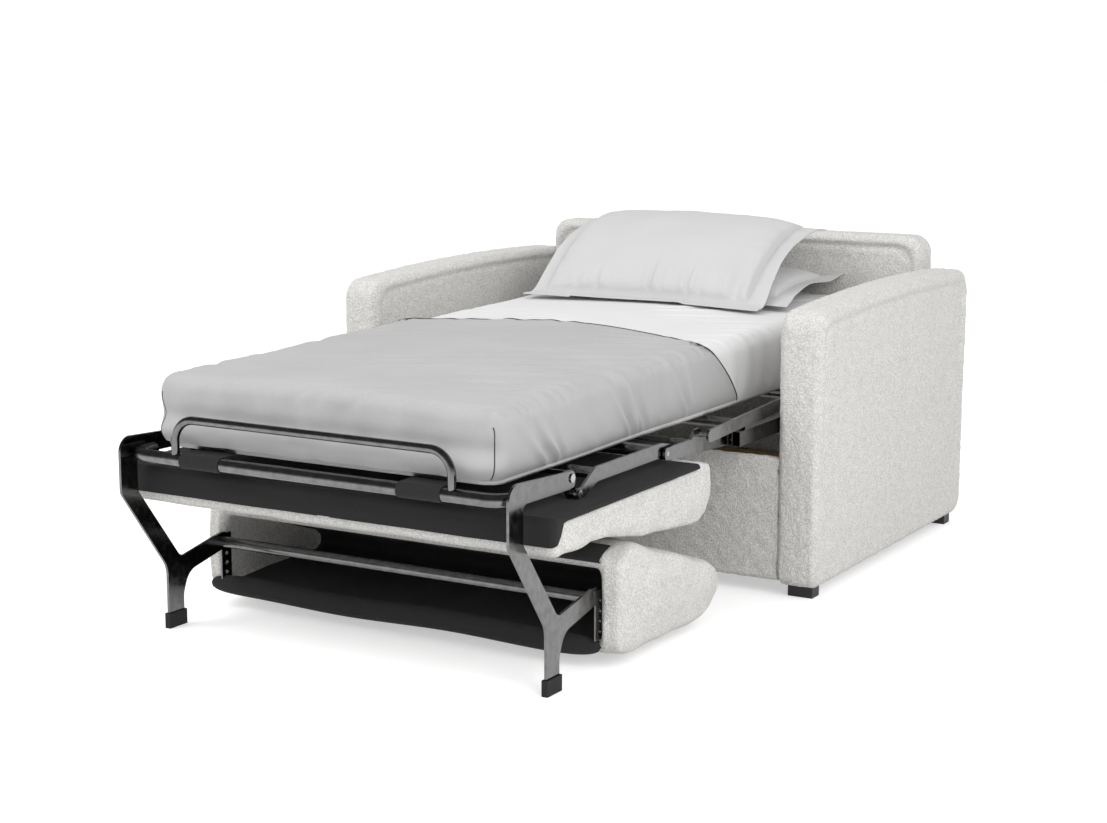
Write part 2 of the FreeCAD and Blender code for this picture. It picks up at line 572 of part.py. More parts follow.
node("seat_rivets", group("seat_rivets", [
    joined("seat_rivet_%d" % k, [rivet_shanks[k], rivet_collars[k], rivet_heads[k]]) for k in (0, 1)]))


def seat_form():
    """The seat cushion, underside up: thick and round at the chair end, drawn in at its sides."""
    foot, chair = size.seat_foot_y, size.seat_chair_y
    top = number(LINING_TOP) - size.lining_thickness
    slope = 0.55 * foot + 0.45 * chair
    outline = [
        (foot, size.seat_under_foot), (foot, top),
        (chair - 60, top, (chair - 20, top - 6)), (chair - 4, top - size.chair_end_drop),
        (chair, size.seat_under_chair + 60, (chair - 18, size.seat_under_chair + 14)),
        (chair - 70, size.seat_under_chair),
        (slope, 0.5 * (size.seat_under_foot + size.seat_under_chair) + 6),
        (slope - 150, size.seat_under_foot),
    ]
    return slab(outline, -size.seat_half, size.seat_half, {0: size.seat_corner}, size.seat_edge)


node("seat_cushion", feature("seat_cushion", seat_form()))
node("seat_lining", block("seat_lining", "-seat_half + lining_margin", "seat_foot_y + lining_margin",
                          LINING_TOP + " - lining_thickness", "2 * (seat_half - lining_margin)",
                          "seat_chair_y - seat_foot_y - 95 - 2 * lining_margin", "lining_thickness"))

# Leg section: Y-shaped legs, foot tube, mattress stop, cross tube, rubber caps and the back cushion.
half_leg = "leg_width / 2"
leg = plate(
    "right_leg", LEG_IN, "leg_thickness",
    [("leg_foot_y - " + half_leg, "leg_cap_sole"), ("leg_foot_y - " + half_leg, "140"),
     ("leg_front_y", "leg_top - 124"), ("leg_front_y", "leg_top"),
     ("leg_pivot_y + 13", "leg_pivot_z + 14"), ("leg_pivot_y + 13", "leg_pivot_z - 22"),
     ("leg_front_y + 52", "leg_top - 46"), ("leg_front_y + 52", "leg_top - 126"),
     ("leg_foot_y + 19", "leg_cross_z - 4"), ("leg_cross_y - 8", "leg_cross_z + 22"),
     ("leg_cross_y + 14", "leg_cross_z + 22"), ("leg_cross_y + 14", "leg_cross_z - 14"),
     ("leg_foot_y + 44", "leg_cross_z - 42"), ("leg_foot_y + " + half_leg, "70"),
     ("leg_foot_y + " + half_leg, "leg_cap_sole")],
    {1: 60, 2: 28, 3: 34, 4: 12, 5: 12, 6: 14, 7: 30, 8: 24, 9: 12, 10: 10, 11: 12, 12: 46, 13: 60},
    [("leg_pivot_y", "leg_pivot_z", "pin_radius + pin_play")])
pair("leg", leg)

foot_y = "leg_front_y + foot_tube_setback"
reach = number(LEG_IN) - size.foot_tube_radius - size.deck_gap
tube_y = size.leg_front_y + size.foot_tube_setback
foot_route = [Vector(x, y, size.foot_tube_z) for x, y in (
    (-reach, tube_y + size.foot_tube_return), (-reach, tube_y), (reach, tube_y),
    (reach, tube_y + size.foot_tube_return))]
foot_solid = bar_along(foot_route, size.foot_tube_radius, size.foot_tube_bend)
node("foot_tube", feature("foot_tube", foot_solid))
stop_low = size.foot_tube_z + size.foot_tube_radius
stop_route = [Vector(x, tube_y, z) for x, z in (
    (-size.stop_bar_half, stop_low - size.stop_bar_root), (-size.stop_bar_half, size.stop_bar_top),
    (size.stop_bar_half, size.stop_bar_top), (size.stop_bar_half, stop_low - size.stop_bar_root))]
stop_solid = bar_along(stop_route, size.stop_bar_radius, size.stop_bar_bend).cut(foot_solid)
node("mattress_stop", feature("mattress_stop", stop_solid))
node("leg_cross_tube", pipe("leg_cross_tube", "-" + LEG_IN, "leg_cross_y", "leg_cross_z",
                            "leg_cross_radius", "2 * " + LEG_IN))
caps = []
for side in (-1, 1):
    x = LEG_IN if side > 0 else "-" + LEG_OUT
    outer = block("cap_outer_%d" % (side + 1), x + " - leg_cap_wall", "leg_foot_y - " + half_leg +
                  " - leg_cap_wall", "0", "leg_thickness + 2 * leg_cap_wall",
                  "leg_width + 2 * leg_cap_wall", "leg_cap_height")
    socket = block("cap_socket_%d" % (side + 1), x, "leg_foot_y - " + half_leg, "leg_cap_sole",
                   "leg_thickness", "leg_width", "leg_cap_height")
    caps.append(cut("cap_%d" % (side + 1), outer, socket))
node("leg_caps", group("leg_caps", caps))


def back_pad_form():
    """The back cushion: a wedge with a round end, hollow and open towards the legs."""
    front, rear, low = size.back_pad_front_y, size.back_pad_rear_y, size.back_pad_floor
    outline = [
        (front, low), (rear - 150, low - 4),
        (rear - 20, low + 28, (rear, low + 62)),
        (rear - 6, low + 90, (rear - 22, size.back_pad_rear_top - 16)),
        (rear - 55, size.back_pad_rear_top),
        (front + 70, size.back_pad_front_top - 8), (front, size.back_pad_front_top - 26),
    ]
    solid = slab(outline, -size.back_pad_half, size.back_pad_half, {0: size.back_pad_corner},
                 size.back_pad_edge)
    hollow_half = size.back_pad_half - size.back_pad_wall
    hollow = slab([(front - 40, size.hollow_floor), (front + size.hollow_depth, size.hollow_floor),
                   (front + size.hollow_depth, size.hollow_rear_top),
                   (front - 40, size.hollow_front_top)], -hollow_half, hollow_half)
    return solid.cut(hollow)


node("back_cushion", feature("back_cushion", back_pad_form()))


def hollow_lining():
    """A thin fabric lining on the floor, back and roof of the hollow."""
    front, t = size.back_pad_front_y, size.lining_thickness
    half = size.back_pad_half - size.back_pad_wall
    outer = slab([(front + 6, size.hollow_floor), (front + size.hollow_depth, size.hollow_floor),
                  (front + size.hollow_depth, size.hollow_rear_top),
                  (front + 6, size.hollow_front_top - 14)], -half, half)
    inner = slab([(front - 40, size.hollow_floor + t), (front + size.hollow_depth - t, size.hollow_floor + t),
                  (front + size.hollow_depth - t, size.hollow_rear_top - t),
                  (front - 40, size.hollow_front_top - t)], -half - 1, half + 1)
    return outer.cut(inner).common(slab([(front + 6, size.hollow_floor),
                                         (front + size.hollow_depth, size.hollow_floor),
                                         (front + size.hollow_depth, size.hollow_rear_top),
                                         (front - 40, size.hollow_front_top)], -half, half))


node("hollow_lining", feature("hollow_lining", hollow_lining()))
brackets = []
for side in (-1, 1):
    x = LEG_OUT if side > 0 else "-" + LEG_OUT + " - bracket_thickness"
    strip = block("bracket_strip_%d" % (side + 1), x, "back_pad_front_y - 8", "leg_cross_z - bracket_drop",
                  "bracket_thickness", "bracket_width", "bracket_drop + 16")
    slots = [rod("bracket_hole_%d_%d" % (side + 1, k), x, "back_pad_front_y + 9",
                 "leg_cross_z - %d" % (10 + 22 * k), "pin_radius", "bracket_thickness")
             for k in range(4)]
    brackets.append(cut("bracket_%d" % (side + 1), strip, joined("bracket_holes_%d" % (side + 1), slots)))
node("cushion_brackets", group("cushion_brackets", brackets))

# Head section: a light frame on the hinge rod.
head_bars = []
head_low = "head_pivot_z - head_bar_height / 2"
for side in (-1, 1):
    x = "head_half - head_bar_width" if side > 0 else "-head_half"
    head_bars.append(block("head_side_%d" % (side + 1), x, "head_pivot_y - 14", head_low, "head_bar_width",
                           HEAD_END + " - head_pivot_y + 14", "head_bar_height"))
head_cross = [rod("head_cross_%d" % k, "-head_half + 1", y, cross_z, "deck_radius", "2 * head_half - 2")
              for k, y in enumerate(("head_pivot_y + head_cross_front", HEAD_END + " - head_cross_rear"))]
head_bore = rod("head_bore", "-head_half", "head_pivot_y", "head_pivot_z", "head_rod_radius + pin_play",
                "2 * head_half")
node("head_frame", cut("head_frame", joined("head_frame_raw", head_bars + head_cross), head_bore))


def webbing(label, y_low, y_high):
    """Two bands of webbing over one section of the deck."""
    bands = [block("%s_%d" % (label, side + 1), "%d * webbing_centre - webbing_width / 2" % side, y_low,
                   "deck_top + deck_gap", "webbing_width", "(" + y_high + ") - (" + y_low + ")",
                   "webbing_thickness") for side in (-1, 1)]
    node(label, group(label, bands))


looped = []
for side in (-1, 1):
    x = "%d * webbing_centre - webbing_width / 2" % side
    sleeve = rod("sleeve_outer_%d" % (side + 1), x, foot_y, "foot_tube_z",
                 "foot_tube_radius + webbing_thickness", "webbing_width")
    band = block("leg_band_%d" % (side + 1), x, foot_y, "deck_top + deck_gap", "webbing_width",
                 "leg_pivot_y - bedding_gap - (" + foot_y + ")", "webbing_thickness")
    bore = rod("sleeve_bore_%d" % (side + 1), x, foot_y, "foot_tube_z", "foot_tube_radius", "webbing_width")
    looped.append(cut("sleeve_%d" % (side + 1), joined("looped_band_%d" % (side + 1), [sleeve, band]), bore))
node("webbing_leg", group("webbing_leg", looped))
webbing("webbing_seat", "leg_pivot_y", "fold_y - bedding_gap")
webbing("webbing_knee", "fold_y", "knee_y - bedding_gap")
webbing("webbing_middle", "knee_y", "head_pivot_y - bedding_gap")
webbing("webbing_head", "head_pivot_y", HEAD_END)

# Bedding: one mattress in five sections that fold with the deck, a blanket over it, two pillows.
deck_face = size.deck_top + size.deck_gap + size.webbing_thickness + size.bedding_gap
mattress_head_y = number(MATTRESS_HEAD)


def top_at(y):
    """Height of the mattress at one place along the bed."""
    span = mattress_head_y - size.mattress_foot_y
    share = (y - size.mattress_foot_y) / span
    return size.mattress_foot_top + share * (size.mattress_head_top - size.mattress_foot_top)


def mattress(label, y_low, y_high):
    ends = [rounded_rectangle(y, size.mattress_half, deck_face, top_at(y), size.mattress_corner,
                              size.mattress_crown) for y in (y_low, y_high)]
    return node(label, feature(label, Part.makeLoft(ends, True, True)))


gap = size.bedding_gap
SECTIONS = (("leg", size.mattress_foot_y, size.leg_pivot_y), ("seat", size.leg_pivot_y, size.fold_y),
            ("knee", size.fold_y, size.knee_y), ("middle", size.knee_y, size.head_pivot_y),
            ("head", size.head_pivot_y, mattress_head_y))
for section, y_low, y_high in SECTIONS:
    last = section == "head"
    mattress("mattress_" + section, y_low, y_high if last else y_high - gap)


def blanket(label, y_low, y_high, foot_end):
    """One section of the blanket: a thin cover over the top and sides, and over the foot end."""
    t = size.blanket_thickness
    low = y_low - t - gap if foot_end else y_low
    below = size.blanket_hem - 2 * size.mattress_corner
    outer = [rounded_rectangle(y, size.mattress_half + t + gap, below, top_at(y) + t + gap,
                               size.mattress_corner + t, size.mattress_crown) for y in (low, y_high)]
    inner_low = y_low - gap if foot_end else y_low - t
    inner = [rounded_rectangle(y, size.mattress_half + gap, below - t, top_at(y) + gap,
                               size.mattress_corner, size.mattress_crown) for y in (inner_low, y_high + t)]
    half = size.mattress_half + 2 * t
    trim = Part.makeBox(2 * half, y_high - low + 2 * t, size.blanket_hem - below + t,
                        Vector(-half, low - t, below - t))
    solid = Part.makeLoft(outer, True, True).cut(Part.makeLoft(inner, True, True)).cut(trim)
    return node(label, feature(label, solid))


blanket("blanket_leg", size.mattress_foot_y, size.leg_pivot_y - gap, True)
blanket("blanket_seat", size.leg_pivot_y, size.fold_y - gap, False)
blanket("blanket_knee", size.fold_y, min(size.knee_y - gap, size.blanket_end_y), False)


def pillow_form(half, depth, height):
    """A filled pillow: thickest in the middle, thin and a little drawn in all round its rim."""
    sections = []
    for share, full in PILLOW_FULLNESS:
        reach, rise = 0.5 * depth * (0.86 + 0.14 * full), 0.5 * height * full
        x = share * half
        front, rear = Vector(x, -reach, 0), Vector(x, reach, 0)
        upper = Part.Arc(front, Vector(x, 0, rise), rear)
        lower = Part.Arc(rear, Vector(x, 0, -rise), front)
        sections.append(Part.Wire([upper.toShape(), lower.toShape()]))
    return Part.makeLoft(sections, True, False)


PILLOW_FULLNESS = ((-1.0, 0.16), (-0.82, 0.62), (-0.45, 0.94), (0.0, 1.0), (0.45, 0.94), (0.82, 0.62),
                   (1.0, 0.16))
rear_pillow_y = back_front - size.rear_pillow_setback
pillow_base = top_at(rear_pillow_y) + size.mattress_crown + gap
rear_pillow = pillow_form(size.pillow_half, size.pillow_depth, size.rear_pillow_height)
rear_pillow.translate(Vector(size.rear_pillow_x, rear_pillow_y,
                             pillow_base + 0.5 * size.rear_pillow_height))
front_pillow = pillow_form(size.pillow_half, size.pillow_depth, size.front_pillow_height)
front_pillow.rotate(Vector(), Vector(1, 0, 0), size.front_pillow_tilt)
front_pillow.translate(Vector(size.front_pillow_x, back_front - size.front_pillow_setback,
                              pillow_base + size.front_pillow_rise))
node("rear_pillow", feature("rear_pillow", rear_pillow))
node("front_pillow", feature("front_pillow", front_pillow.cut(rear_pillow)))

doc.recompute()

faults = [o.Label for o in doc.Objects if "Invalid" in o.State or "Error" in o.State]
for label, thing in NODES:
    if thing.Shape.isNull() or not thing.Shape.isValid():
        faults.append(label)
if faults:
    raise RuntimeError("Failed objects: " + ", ".join(faults))

os.makedirs("parts", exist_ok=True)
for label, thing in NODES:
    thing.Shape.exportStep(os.path.join("parts", label + ".step"))
print(len(NODES), "nodes written")
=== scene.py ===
import math

import bpy
import numpy as np
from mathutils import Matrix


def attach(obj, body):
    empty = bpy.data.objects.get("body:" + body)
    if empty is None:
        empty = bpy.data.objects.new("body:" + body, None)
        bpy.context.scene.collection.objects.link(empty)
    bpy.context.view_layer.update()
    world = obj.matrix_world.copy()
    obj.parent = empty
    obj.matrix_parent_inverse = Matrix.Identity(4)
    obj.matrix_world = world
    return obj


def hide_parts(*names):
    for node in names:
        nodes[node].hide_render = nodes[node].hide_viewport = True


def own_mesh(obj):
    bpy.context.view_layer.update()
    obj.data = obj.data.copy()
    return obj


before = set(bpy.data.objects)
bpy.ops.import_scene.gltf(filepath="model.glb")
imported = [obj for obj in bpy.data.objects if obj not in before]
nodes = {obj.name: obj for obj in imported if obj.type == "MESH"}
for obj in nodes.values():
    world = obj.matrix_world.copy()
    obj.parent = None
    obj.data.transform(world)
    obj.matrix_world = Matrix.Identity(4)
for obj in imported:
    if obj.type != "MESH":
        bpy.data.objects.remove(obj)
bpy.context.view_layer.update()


# Places in metres, in the frame of the CAD part: the chair faces -Y and z = 0 is the floor.
SEAT_GAP = 0.565
ARM_WIDTH = 0.100
BED_HALF = 0.425
BED_FOOT = -0.955
BED_HEAD = 0.905
DECK = 0.434
HINGES = (-0.781, -0.397, -0.077, 0.500)
SECTIONS = ("leg", "seat", "knee", "middle", "head")
CARRIERS = {"leg": "leg_frame", "seat": "seat_frame", "knee": "knee_frame", "middle": "middle_frame",
            "head": "head_frame"}
BED_CORNER = 0.036
BED_CROWN = 0.010
FOOT_TURN = 0.034
BLANKET_THICK = 0.006
BLANKET_HEM = 0.446
LINING_THICK = 0.0015
SQUASH_KEEP = 0.6
HEAD_KEEP = 0.35


# Camera and studio

AMBIENT = 0.80
OVERHEAD_IN_MIRRORS = 0.10
FLOOR_LIFT = 0.45
LAMP_POWER = 85.0
WHITE = (1.0, 1.0, 1.0, 1.0)


def add_object(name, data):
    """A new object in the scene."""
    thing = bpy.data.objects.new(name, data)
    bpy.context.scene.collection.objects.link(thing)
    return thing


def add_node(tree, kind, inputs=(), **settings):
    """The outputs of a new shader node. Each of its inputs gets a value or a link from a socket."""
    node = tree.nodes.new("ShaderNode" + kind)
    for label, value in settings.items():
        setattr(node, label, value)
    for label, value in dict(inputs).items():
        if isinstance(value, bpy.types.NodeSocket):
            tree.links.new(value, node.inputs[label])
        else:
            node.inputs[label].default_value = value
    return node.outputs


def ranged(tree, value, low, high, start=0.0, stop=1.0):
    """A value carried from one range to another, and kept inside it."""
    return add_node(tree, "MapRange", {"Value": value, "From Min": low, "From Max": high,
                                       "To Min": start, "To Max": stop})["Result"]


def noise(tree, place, scale, detail, result="Fac", rough=0.5):
    """Cloudy noise at a place, as a value or a colour."""
    return add_node(tree, "TexNoise", {"Vector": place, "Scale": scale, "Detail": detail,
                                       "Roughness": rough})[result]


def math_of(tree, operation, *values):
    """The result of one arithmetic step."""
    return add_node(tree, "Math", dict(enumerate(values)), operation=operation)[0]


def tinted(tree, share, first, second, **settings):
    """One colour turned into another by a share."""
    return add_node(tree, "Mix", {0: share, 6: first, 7: second}, data_type="RGBA", **settings)[2]


def photo_camera():
    """The camera stands where the photograph was taken from: 10.19 degrees down, 30.49 degrees round."""
    data = bpy.data.cameras.new("photo_camera")
    data.lens = 68.293
    data.sensor_width = 36.0
    camera = add_object("photo_camera", data)
    camera.location = (2.53601, -4.33032, 1.29872)
    camera.rotation_euler = (math.radians(90.0 - 10.190), 0.0, math.radians(30.4875))
    bpy.context.scene.camera = camera


def seen_directly(tree):
    """1 for rays that the eye, a mirror or glass sends out, and 0 for light that falls on things."""
    path = add_node(tree, "LightPath")
    first = math_of(tree, "MAXIMUM", path["Is Camera Ray"], path["Is Glossy Ray"])
    return math_of(tree, "MAXIMUM", first, path["Is Transmission Ray"])


def studio_world():
    """A white room for the eye, an even pale light for everything else, darker overhead in mirrors."""
    world = bpy.data.worlds.new("studio_world")
    world.use_nodes = True
    tree = world.node_tree
    tree.nodes.clear()
    split = add_node(tree, "SeparateXYZ", {0: add_node(tree, "TexCoord")["Generated"]})
    height = ranged(tree, split["Z"], 0.02, 0.30, 1.0, OVERHEAD_IN_MIRRORS)
    mirror = add_node(tree, "Mix", {0: add_node(tree, "LightPath")["Is Glossy Ray"], 2: 1.0, 3: height})
    strength = add_node(tree, "Mix", {0: seen_directly(tree), 2: AMBIENT, 3: mirror[0]})
    light = add_node(tree, "Background", {"Color": WHITE, "Strength": strength[0]})
    add_node(tree, "OutputWorld", {"Surface": light[0]})
    bpy.context.scene.world = world


def studio_floor():
    """A plain white floor that keeps the object's shadow and joins the white room."""
    reach = 30.0
    mesh = bpy.data.meshes.new("studio_floor")
    mesh.from_pydata([(-reach, -reach, 0), (reach, -reach, 0), (reach, reach, 0), (-reach, reach, 0)], [],
                     [(0, 1, 2, 3)])
    floor = add_object("studio_floor", mesh)
    material = bpy.data.materials.new("studio_floor")
    material.use_nodes = True
    tree = material.node_tree
    shader = tree.nodes["Principled BSDF"]
    for label, value in {"Base Color": (0.8, 0.8, 0.8, 1.0), "Roughness": 0.9, "Specular IOR Level": 0.0,
                         "Emission Color": WHITE}.items():
        shader.inputs[label].default_value = value
    lift = math_of(tree, "MULTIPLY", seen_directly(tree), FLOOR_LIFT)
    tree.links.new(lift, shader.inputs["Emission Strength"])
    mesh.materials.append(material)


def soft_lamp(name, place, power, side):
    """A square soft box at one place, turned towards the middle of the bed."""
    data = bpy.data.lights.new(name, "AREA")
    data.energy = power
    data.size = side
    lamp = add_object(name, data)
    lamp.location = place
    aim = np.array((0.0, 0.0, 0.4)) - np.array(place)
    lamp.rotation_euler = (math.atan2(math.hypot(aim[0], aim[1]), -aim[2]), 0.0,
                           math.atan2(aim[1], aim[0]) - math.radians(90.0))
    lamp.visible_glossy = False


# Materials

def grey(value, warm=0.0):
    """A grey, with a little more red and less blue where it is warm."""
    return (value * (1.0 + warm), value, value * (1.0 - 1.6 * warm), 1.0)


def new_group(name, inputs):
    """An empty node group with named inputs that gives a colour, a roughness and a normal."""
    group = bpy.data.node_groups.new(name, "ShaderNodeTree")
    for label, value in inputs.items():
        kind = "NodeSocketColor" if isinstance(value, tuple) else "NodeSocketFloat"
        group.interface.new_socket(name=label, in_out="INPUT", socket_type=kind).default_value = value
    for label, kind in (("Color", "Color"), ("Normal", "Vector"), ("Roughness", "Float")):
        group.interface.new_socket(name=label, in_out="OUTPUT", socket_type="NodeSocket" + kind)
    return group, group.nodes.new("NodeGroupInput").outputs


def hand_out(group, colour, normal, rough):
    """Join a group's results to its outputs."""
    out = group.nodes.new("NodeGroupOutput")
    group.links.new(colour, out.inputs["Color"])
    group.links.new(normal, out.inputs["Normal"])
    group.links.new(rough, out.inputs["Roughness"])
    return group


def looped_wool():
    """Boucle: small round loops of yarn in clumps, lighter on their crowns and darker between them:
    painted shade in the hollows between loops, with random tone in the yarn and clumps.
    """
    group, given = new_group("looped_wool", {"Loops per metre": 230.0, "Height": 0.0014,
                                             "Crown": (0.66, 0.64, 0.60, 1),
                                             "Gap": (0.36, 0.33, 0.30, 1)})
    place = add_node(group, "TexCoord")["Object"]
    stir = noise(group, place, 60.0, 2.0, "Color")
    shift = add_node(group, "VectorMath", {0: stir, 1: (0.010, 0.010, 0.010), 2: place},
                     operation="MULTIPLY_ADD")
    loops = add_node(group, "TexVoronoi", {"Vector": shift[0], "Scale": given["Loops per metre"],
                                           "Smoothness": 0.35}, feature="SMOOTH_F1")
    crown = ranged(group, loops["Distance"], 0.10, 0.62, 1.0, 0.0)
    yarn = noise(group, place, 520.0, 3.0, rough=0.65)
    rise = math_of(group, "MULTIPLY_ADD", yarn, 0.45, crown)
    whole = math_of(group, "MULTIPLY_ADD", noise(group, place, 55.0, 3.0), 0.6, rise)
    # The Gap colour is painted shade in the hollows between loops; the yarn and clump noise add random
    # tone.
    tint = tinted(group, ranged(group, whole, 0.25, 1.05), given["Gap"], given["Crown"])
    bump = add_node(group, "Bump", {"Height": whole, "Distance": given["Height"], "Strength": 0.85})
    return hand_out(group, tint, bump["Normal"], ranged(group, crown, 0.0, 1.0, 0.98, 0.88))


def plain_weave():
    """Woven cloth: crossing threads on the piece's own flat map, darker in the hollows between them as
    painted shade, with slubs and a soft tone change.
    """
    group, given = new_group("plain_weave", {"Threads per metre": 1400.0, "Height": 0.0003,
                                             "Thread": (0.6, 0.6, 0.6, 1), "Hollow": (0.5, 0.5, 0.5, 1),
                                             "Tone change": 0.04})
    place = add_node(group, "TexCoord")
    split = add_node(group, "SeparateXYZ", {0: place["UV"]})
    along = [math_of(group, "MULTIPLY", split[axis], given["Threads per metre"]) for axis in ("X", "Y")]
    crossing = math_of(group, "MULTIPLY", *(math_of(group, "SINE", turn) for turn in along))
    body = math_of(group, "MULTIPLY_ADD", crossing, 0.5, noise(group, place["Object"], 240.0, 4.0))
    share = ranged(group, body, -0.8, 1.6)
    # The Hollow colour is painted shade between the crossing threads; the slubs and the tone change are
    # the cloth's own.
    tint = tinted(group, share, given["Hollow"], given["Thread"])
    drift = ranged(group, noise(group, place["Object"], 7.0, 3.0), 0.3, 0.7, given["Tone change"], 0.0)
    dark = tinted(group, drift, tint, (0.0, 0.0, 0.0, 1.0), blend_type="MULTIPLY")
    bump = add_node(group, "Bump", {"Height": body, "Distance": given["Height"], "Strength": 0.5})
    return hand_out(group, dark, bump["Normal"], ranged(group, share, 0.0, 1.0, 0.92, 0.78))


def fine_surface():
    """A hard surface: a faint cloudy tone, small unevenness and roughness that varies a little."""
    group, given = new_group("fine_surface", {"Scale": 60.0, "Height": 0.0001, "Light": grey(0.2),
                                              "Dark": grey(0.1), "Smooth": 0.2, "Dull": 0.4})
    place = add_node(group, "TexCoord")["Object"]
    share = ranged(group, noise(group, place, given["Scale"], 5.0), 0.35, 0.65)
    tint = tinted(group, share, given["Dark"], given["Light"])
    rough = add_node(group, "Mix", {0: share, 2: given["Smooth"], 3: given["Dull"]})
    bump = add_node(group, "Bump", {"Height": noise(group, place, 900.0, 2.0),
                                    "Distance": given["Height"], "Strength": 0.3})
    return hand_out(group, tint, bump["Normal"], rough[0])


def finish_of(name, group, values, fixed):
    """A material whose colour, roughness and normal come from one group, the rest from plain values."""
    material = bpy.data.materials.new(name)
    material.use_nodes = True
    tree = material.node_tree
    shader = tree.nodes["Principled BSDF"]
    effect = add_node(tree, "Group", values, node_tree=group)
    for label, target in (("Color", "Base Color"), ("Roughness", "Roughness"), ("Normal", "Normal")):
        tree.links.new(effect[label], shader.inputs[target])
    for label, value in fixed.items():
        shader.inputs[label].default_value = value
    return material


def cloth_finish(name, thread, hollow, sheen, **more):
    """A woven finish in two greys, the thread's and a darker one painted as shade in its hollows, with its
    specular level, sheen and sheen roughness.
    """
    values = {"Thread": grey(thread), "Hollow": grey(hollow)}
    values.update({label.replace("_", " "): value for label, value in more.items()})
    return finish_of(name, WEAVE, values, {"Specular IOR Level": sheen[0], "Sheen Weight": sheen[1],
                                           "Sheen Roughness": sheen[2]})


def hard_finish(name, light, dark, smooth, dull, height, **shader):
    """A hard finish from two colours, two roughnesses and the height of its pores."""
    values = {"Light": light, "Dark": dark, "Smooth": smooth, "Dull": dull, "Height": height}
    fixed = {label.replace("_", " "): value for label, value in shader.items()}
    return finish_of(name, HARD, values, fixed)


WOOL = looped_wool()
WEAVE = plain_weave()
HARD = fine_surface()
FINISHES = {
    # The boucle's Gap grey is painted shade between its loops.
    "boucle": finish_of("boucle", WOOL, {"Crown": grey(0.74, 0.014), "Gap": grey(0.48, 0.035)},
                        {"Specular IOR Level": 0.1, "Sheen Weight": 0.12, "Sheen Roughness": 0.6}),
    # Each cloth's second grey is painted shade in the hollows of its weave.
    "grey_blanket": cloth_finish("grey_blanket", 0.50, 0.40, (0.15, 0.10, 0.5), Tone_change=0.05),
    "white_sheet": cloth_finish("white_sheet", 0.79, 0.68, (0.15, 0.08, 0.5), Tone_change=0.03,
                                Height=0.0002),
    "white_pillowcase": cloth_finish("white_pillowcase", 0.63, 0.55, (0.15, 0.08, 0.5), Tone_change=0.03,
                                     Height=0.0002),
    "black_lining": cloth_finish("black_lining", 0.030, 0.014, (0.25, 0.06, 0.45), Height=0.0004,
                                 Threads_per_metre=2600.0),
    "black_webbing": cloth_finish("black_webbing", 0.035, 0.012, (0.2, 0.05, 0.5), Height=0.0006,
                                  Threads_per_metre=900.0),
    "black_steel": hard_finish("black_steel", grey(0.20), grey(0.15), 0.13, 0.24, 0.00004, Metallic=1.0),
    "rivet_steel": hard_finish("rivet_steel", grey(0.55), grey(0.38), 0.18, 0.32, 0.00005, Metallic=1.0),
    "black_plastic": hard_finish("black_plastic", grey(0.022), grey(0.012), 0.42, 0.60, 0.0002,
                                 Specular_IOR_Level=0.4),
    "rubber": hard_finish("rubber", grey(0.020), grey(0.011), 0.58, 0.75, 0.0003, Specular_IOR_Level=0.3),
    "timber": finish_of("timber", HARD, {"Light": (0.52, 0.36, 0.20, 1), "Dark": (0.38, 0.24, 0.12, 1),
                                         "Scale": 18.0, "Smooth": 0.55, "Dull": 0.7, "Height": 0.0004},
                        {"Specular IOR Level": 0.3}),
    "near_black_cord": hard_finish("near_black_cord", grey(0.06), grey(0.03), 0.6, 0.8, 0.0001,
                               Specular_IOR_Level=0.2),
}


# Meshes from whole arrays

NO_FANS = np.zeros((0, 3), int)


def grid_quads(rows, cols, wrap=False):
    """Four-sided faces between neighbouring rows and columns, joined round the columns where it wraps."""
    r = np.arange(rows - 1)[:, None]
    c = np.arange(cols if wrap else cols - 1)[None, :]
    after = (c + 1) % cols
    return np.stack([r * cols + c, r * cols + after, (r + 1) * cols + after, (r + 1) * cols + c],
                    axis=-1).reshape(-1, 4)


def volume(points, triangles):
    """Signed volume of a closed form, the sum of its triangles' pyramids to the origin."""
    a, b, c = (points[triangles[:, k]] for k in range(3))
    return float(np.einsum("ij,ij->i", a, np.cross(b, c)).sum() / 6.0)


def as_triangles(quads, fans=NO_FANS):
    """All faces as triangles, for sums over a surface."""
    return np.concatenate([quads[:, [0, 1, 2]], quads[:, [0, 2, 3]], fans])


def normals_of(points, quads, fans=NO_FANS):
    """Unit normals at the points, each the sum of the faces round it."""
    triangles = as_triangles(quads, fans)
    a, b, c = (points[triangles[:, k]] for k in range(3))
    across = np.cross(b - a, c - a)
    total = np.zeros_like(points)
    for k in range(3):
        np.add.at(total, triangles[:, k], across)
    return total / np.maximum(np.linalg.norm(total, axis=1, keepdims=True), 1e-12)


def turned_out(points, quads, fans=NO_FANS):
    """A closed form with its faces looking outwards."""
    order = -1 if volume(points, as_triangles(quads, fans)) < 0 else 1
    return points, quads[:, ::order], fans[:, ::order]


def unit(vectors):
    """The same directions with length 1."""
    return vectors / np.linalg.norm(vectors, axis=-1, keepdims=True)


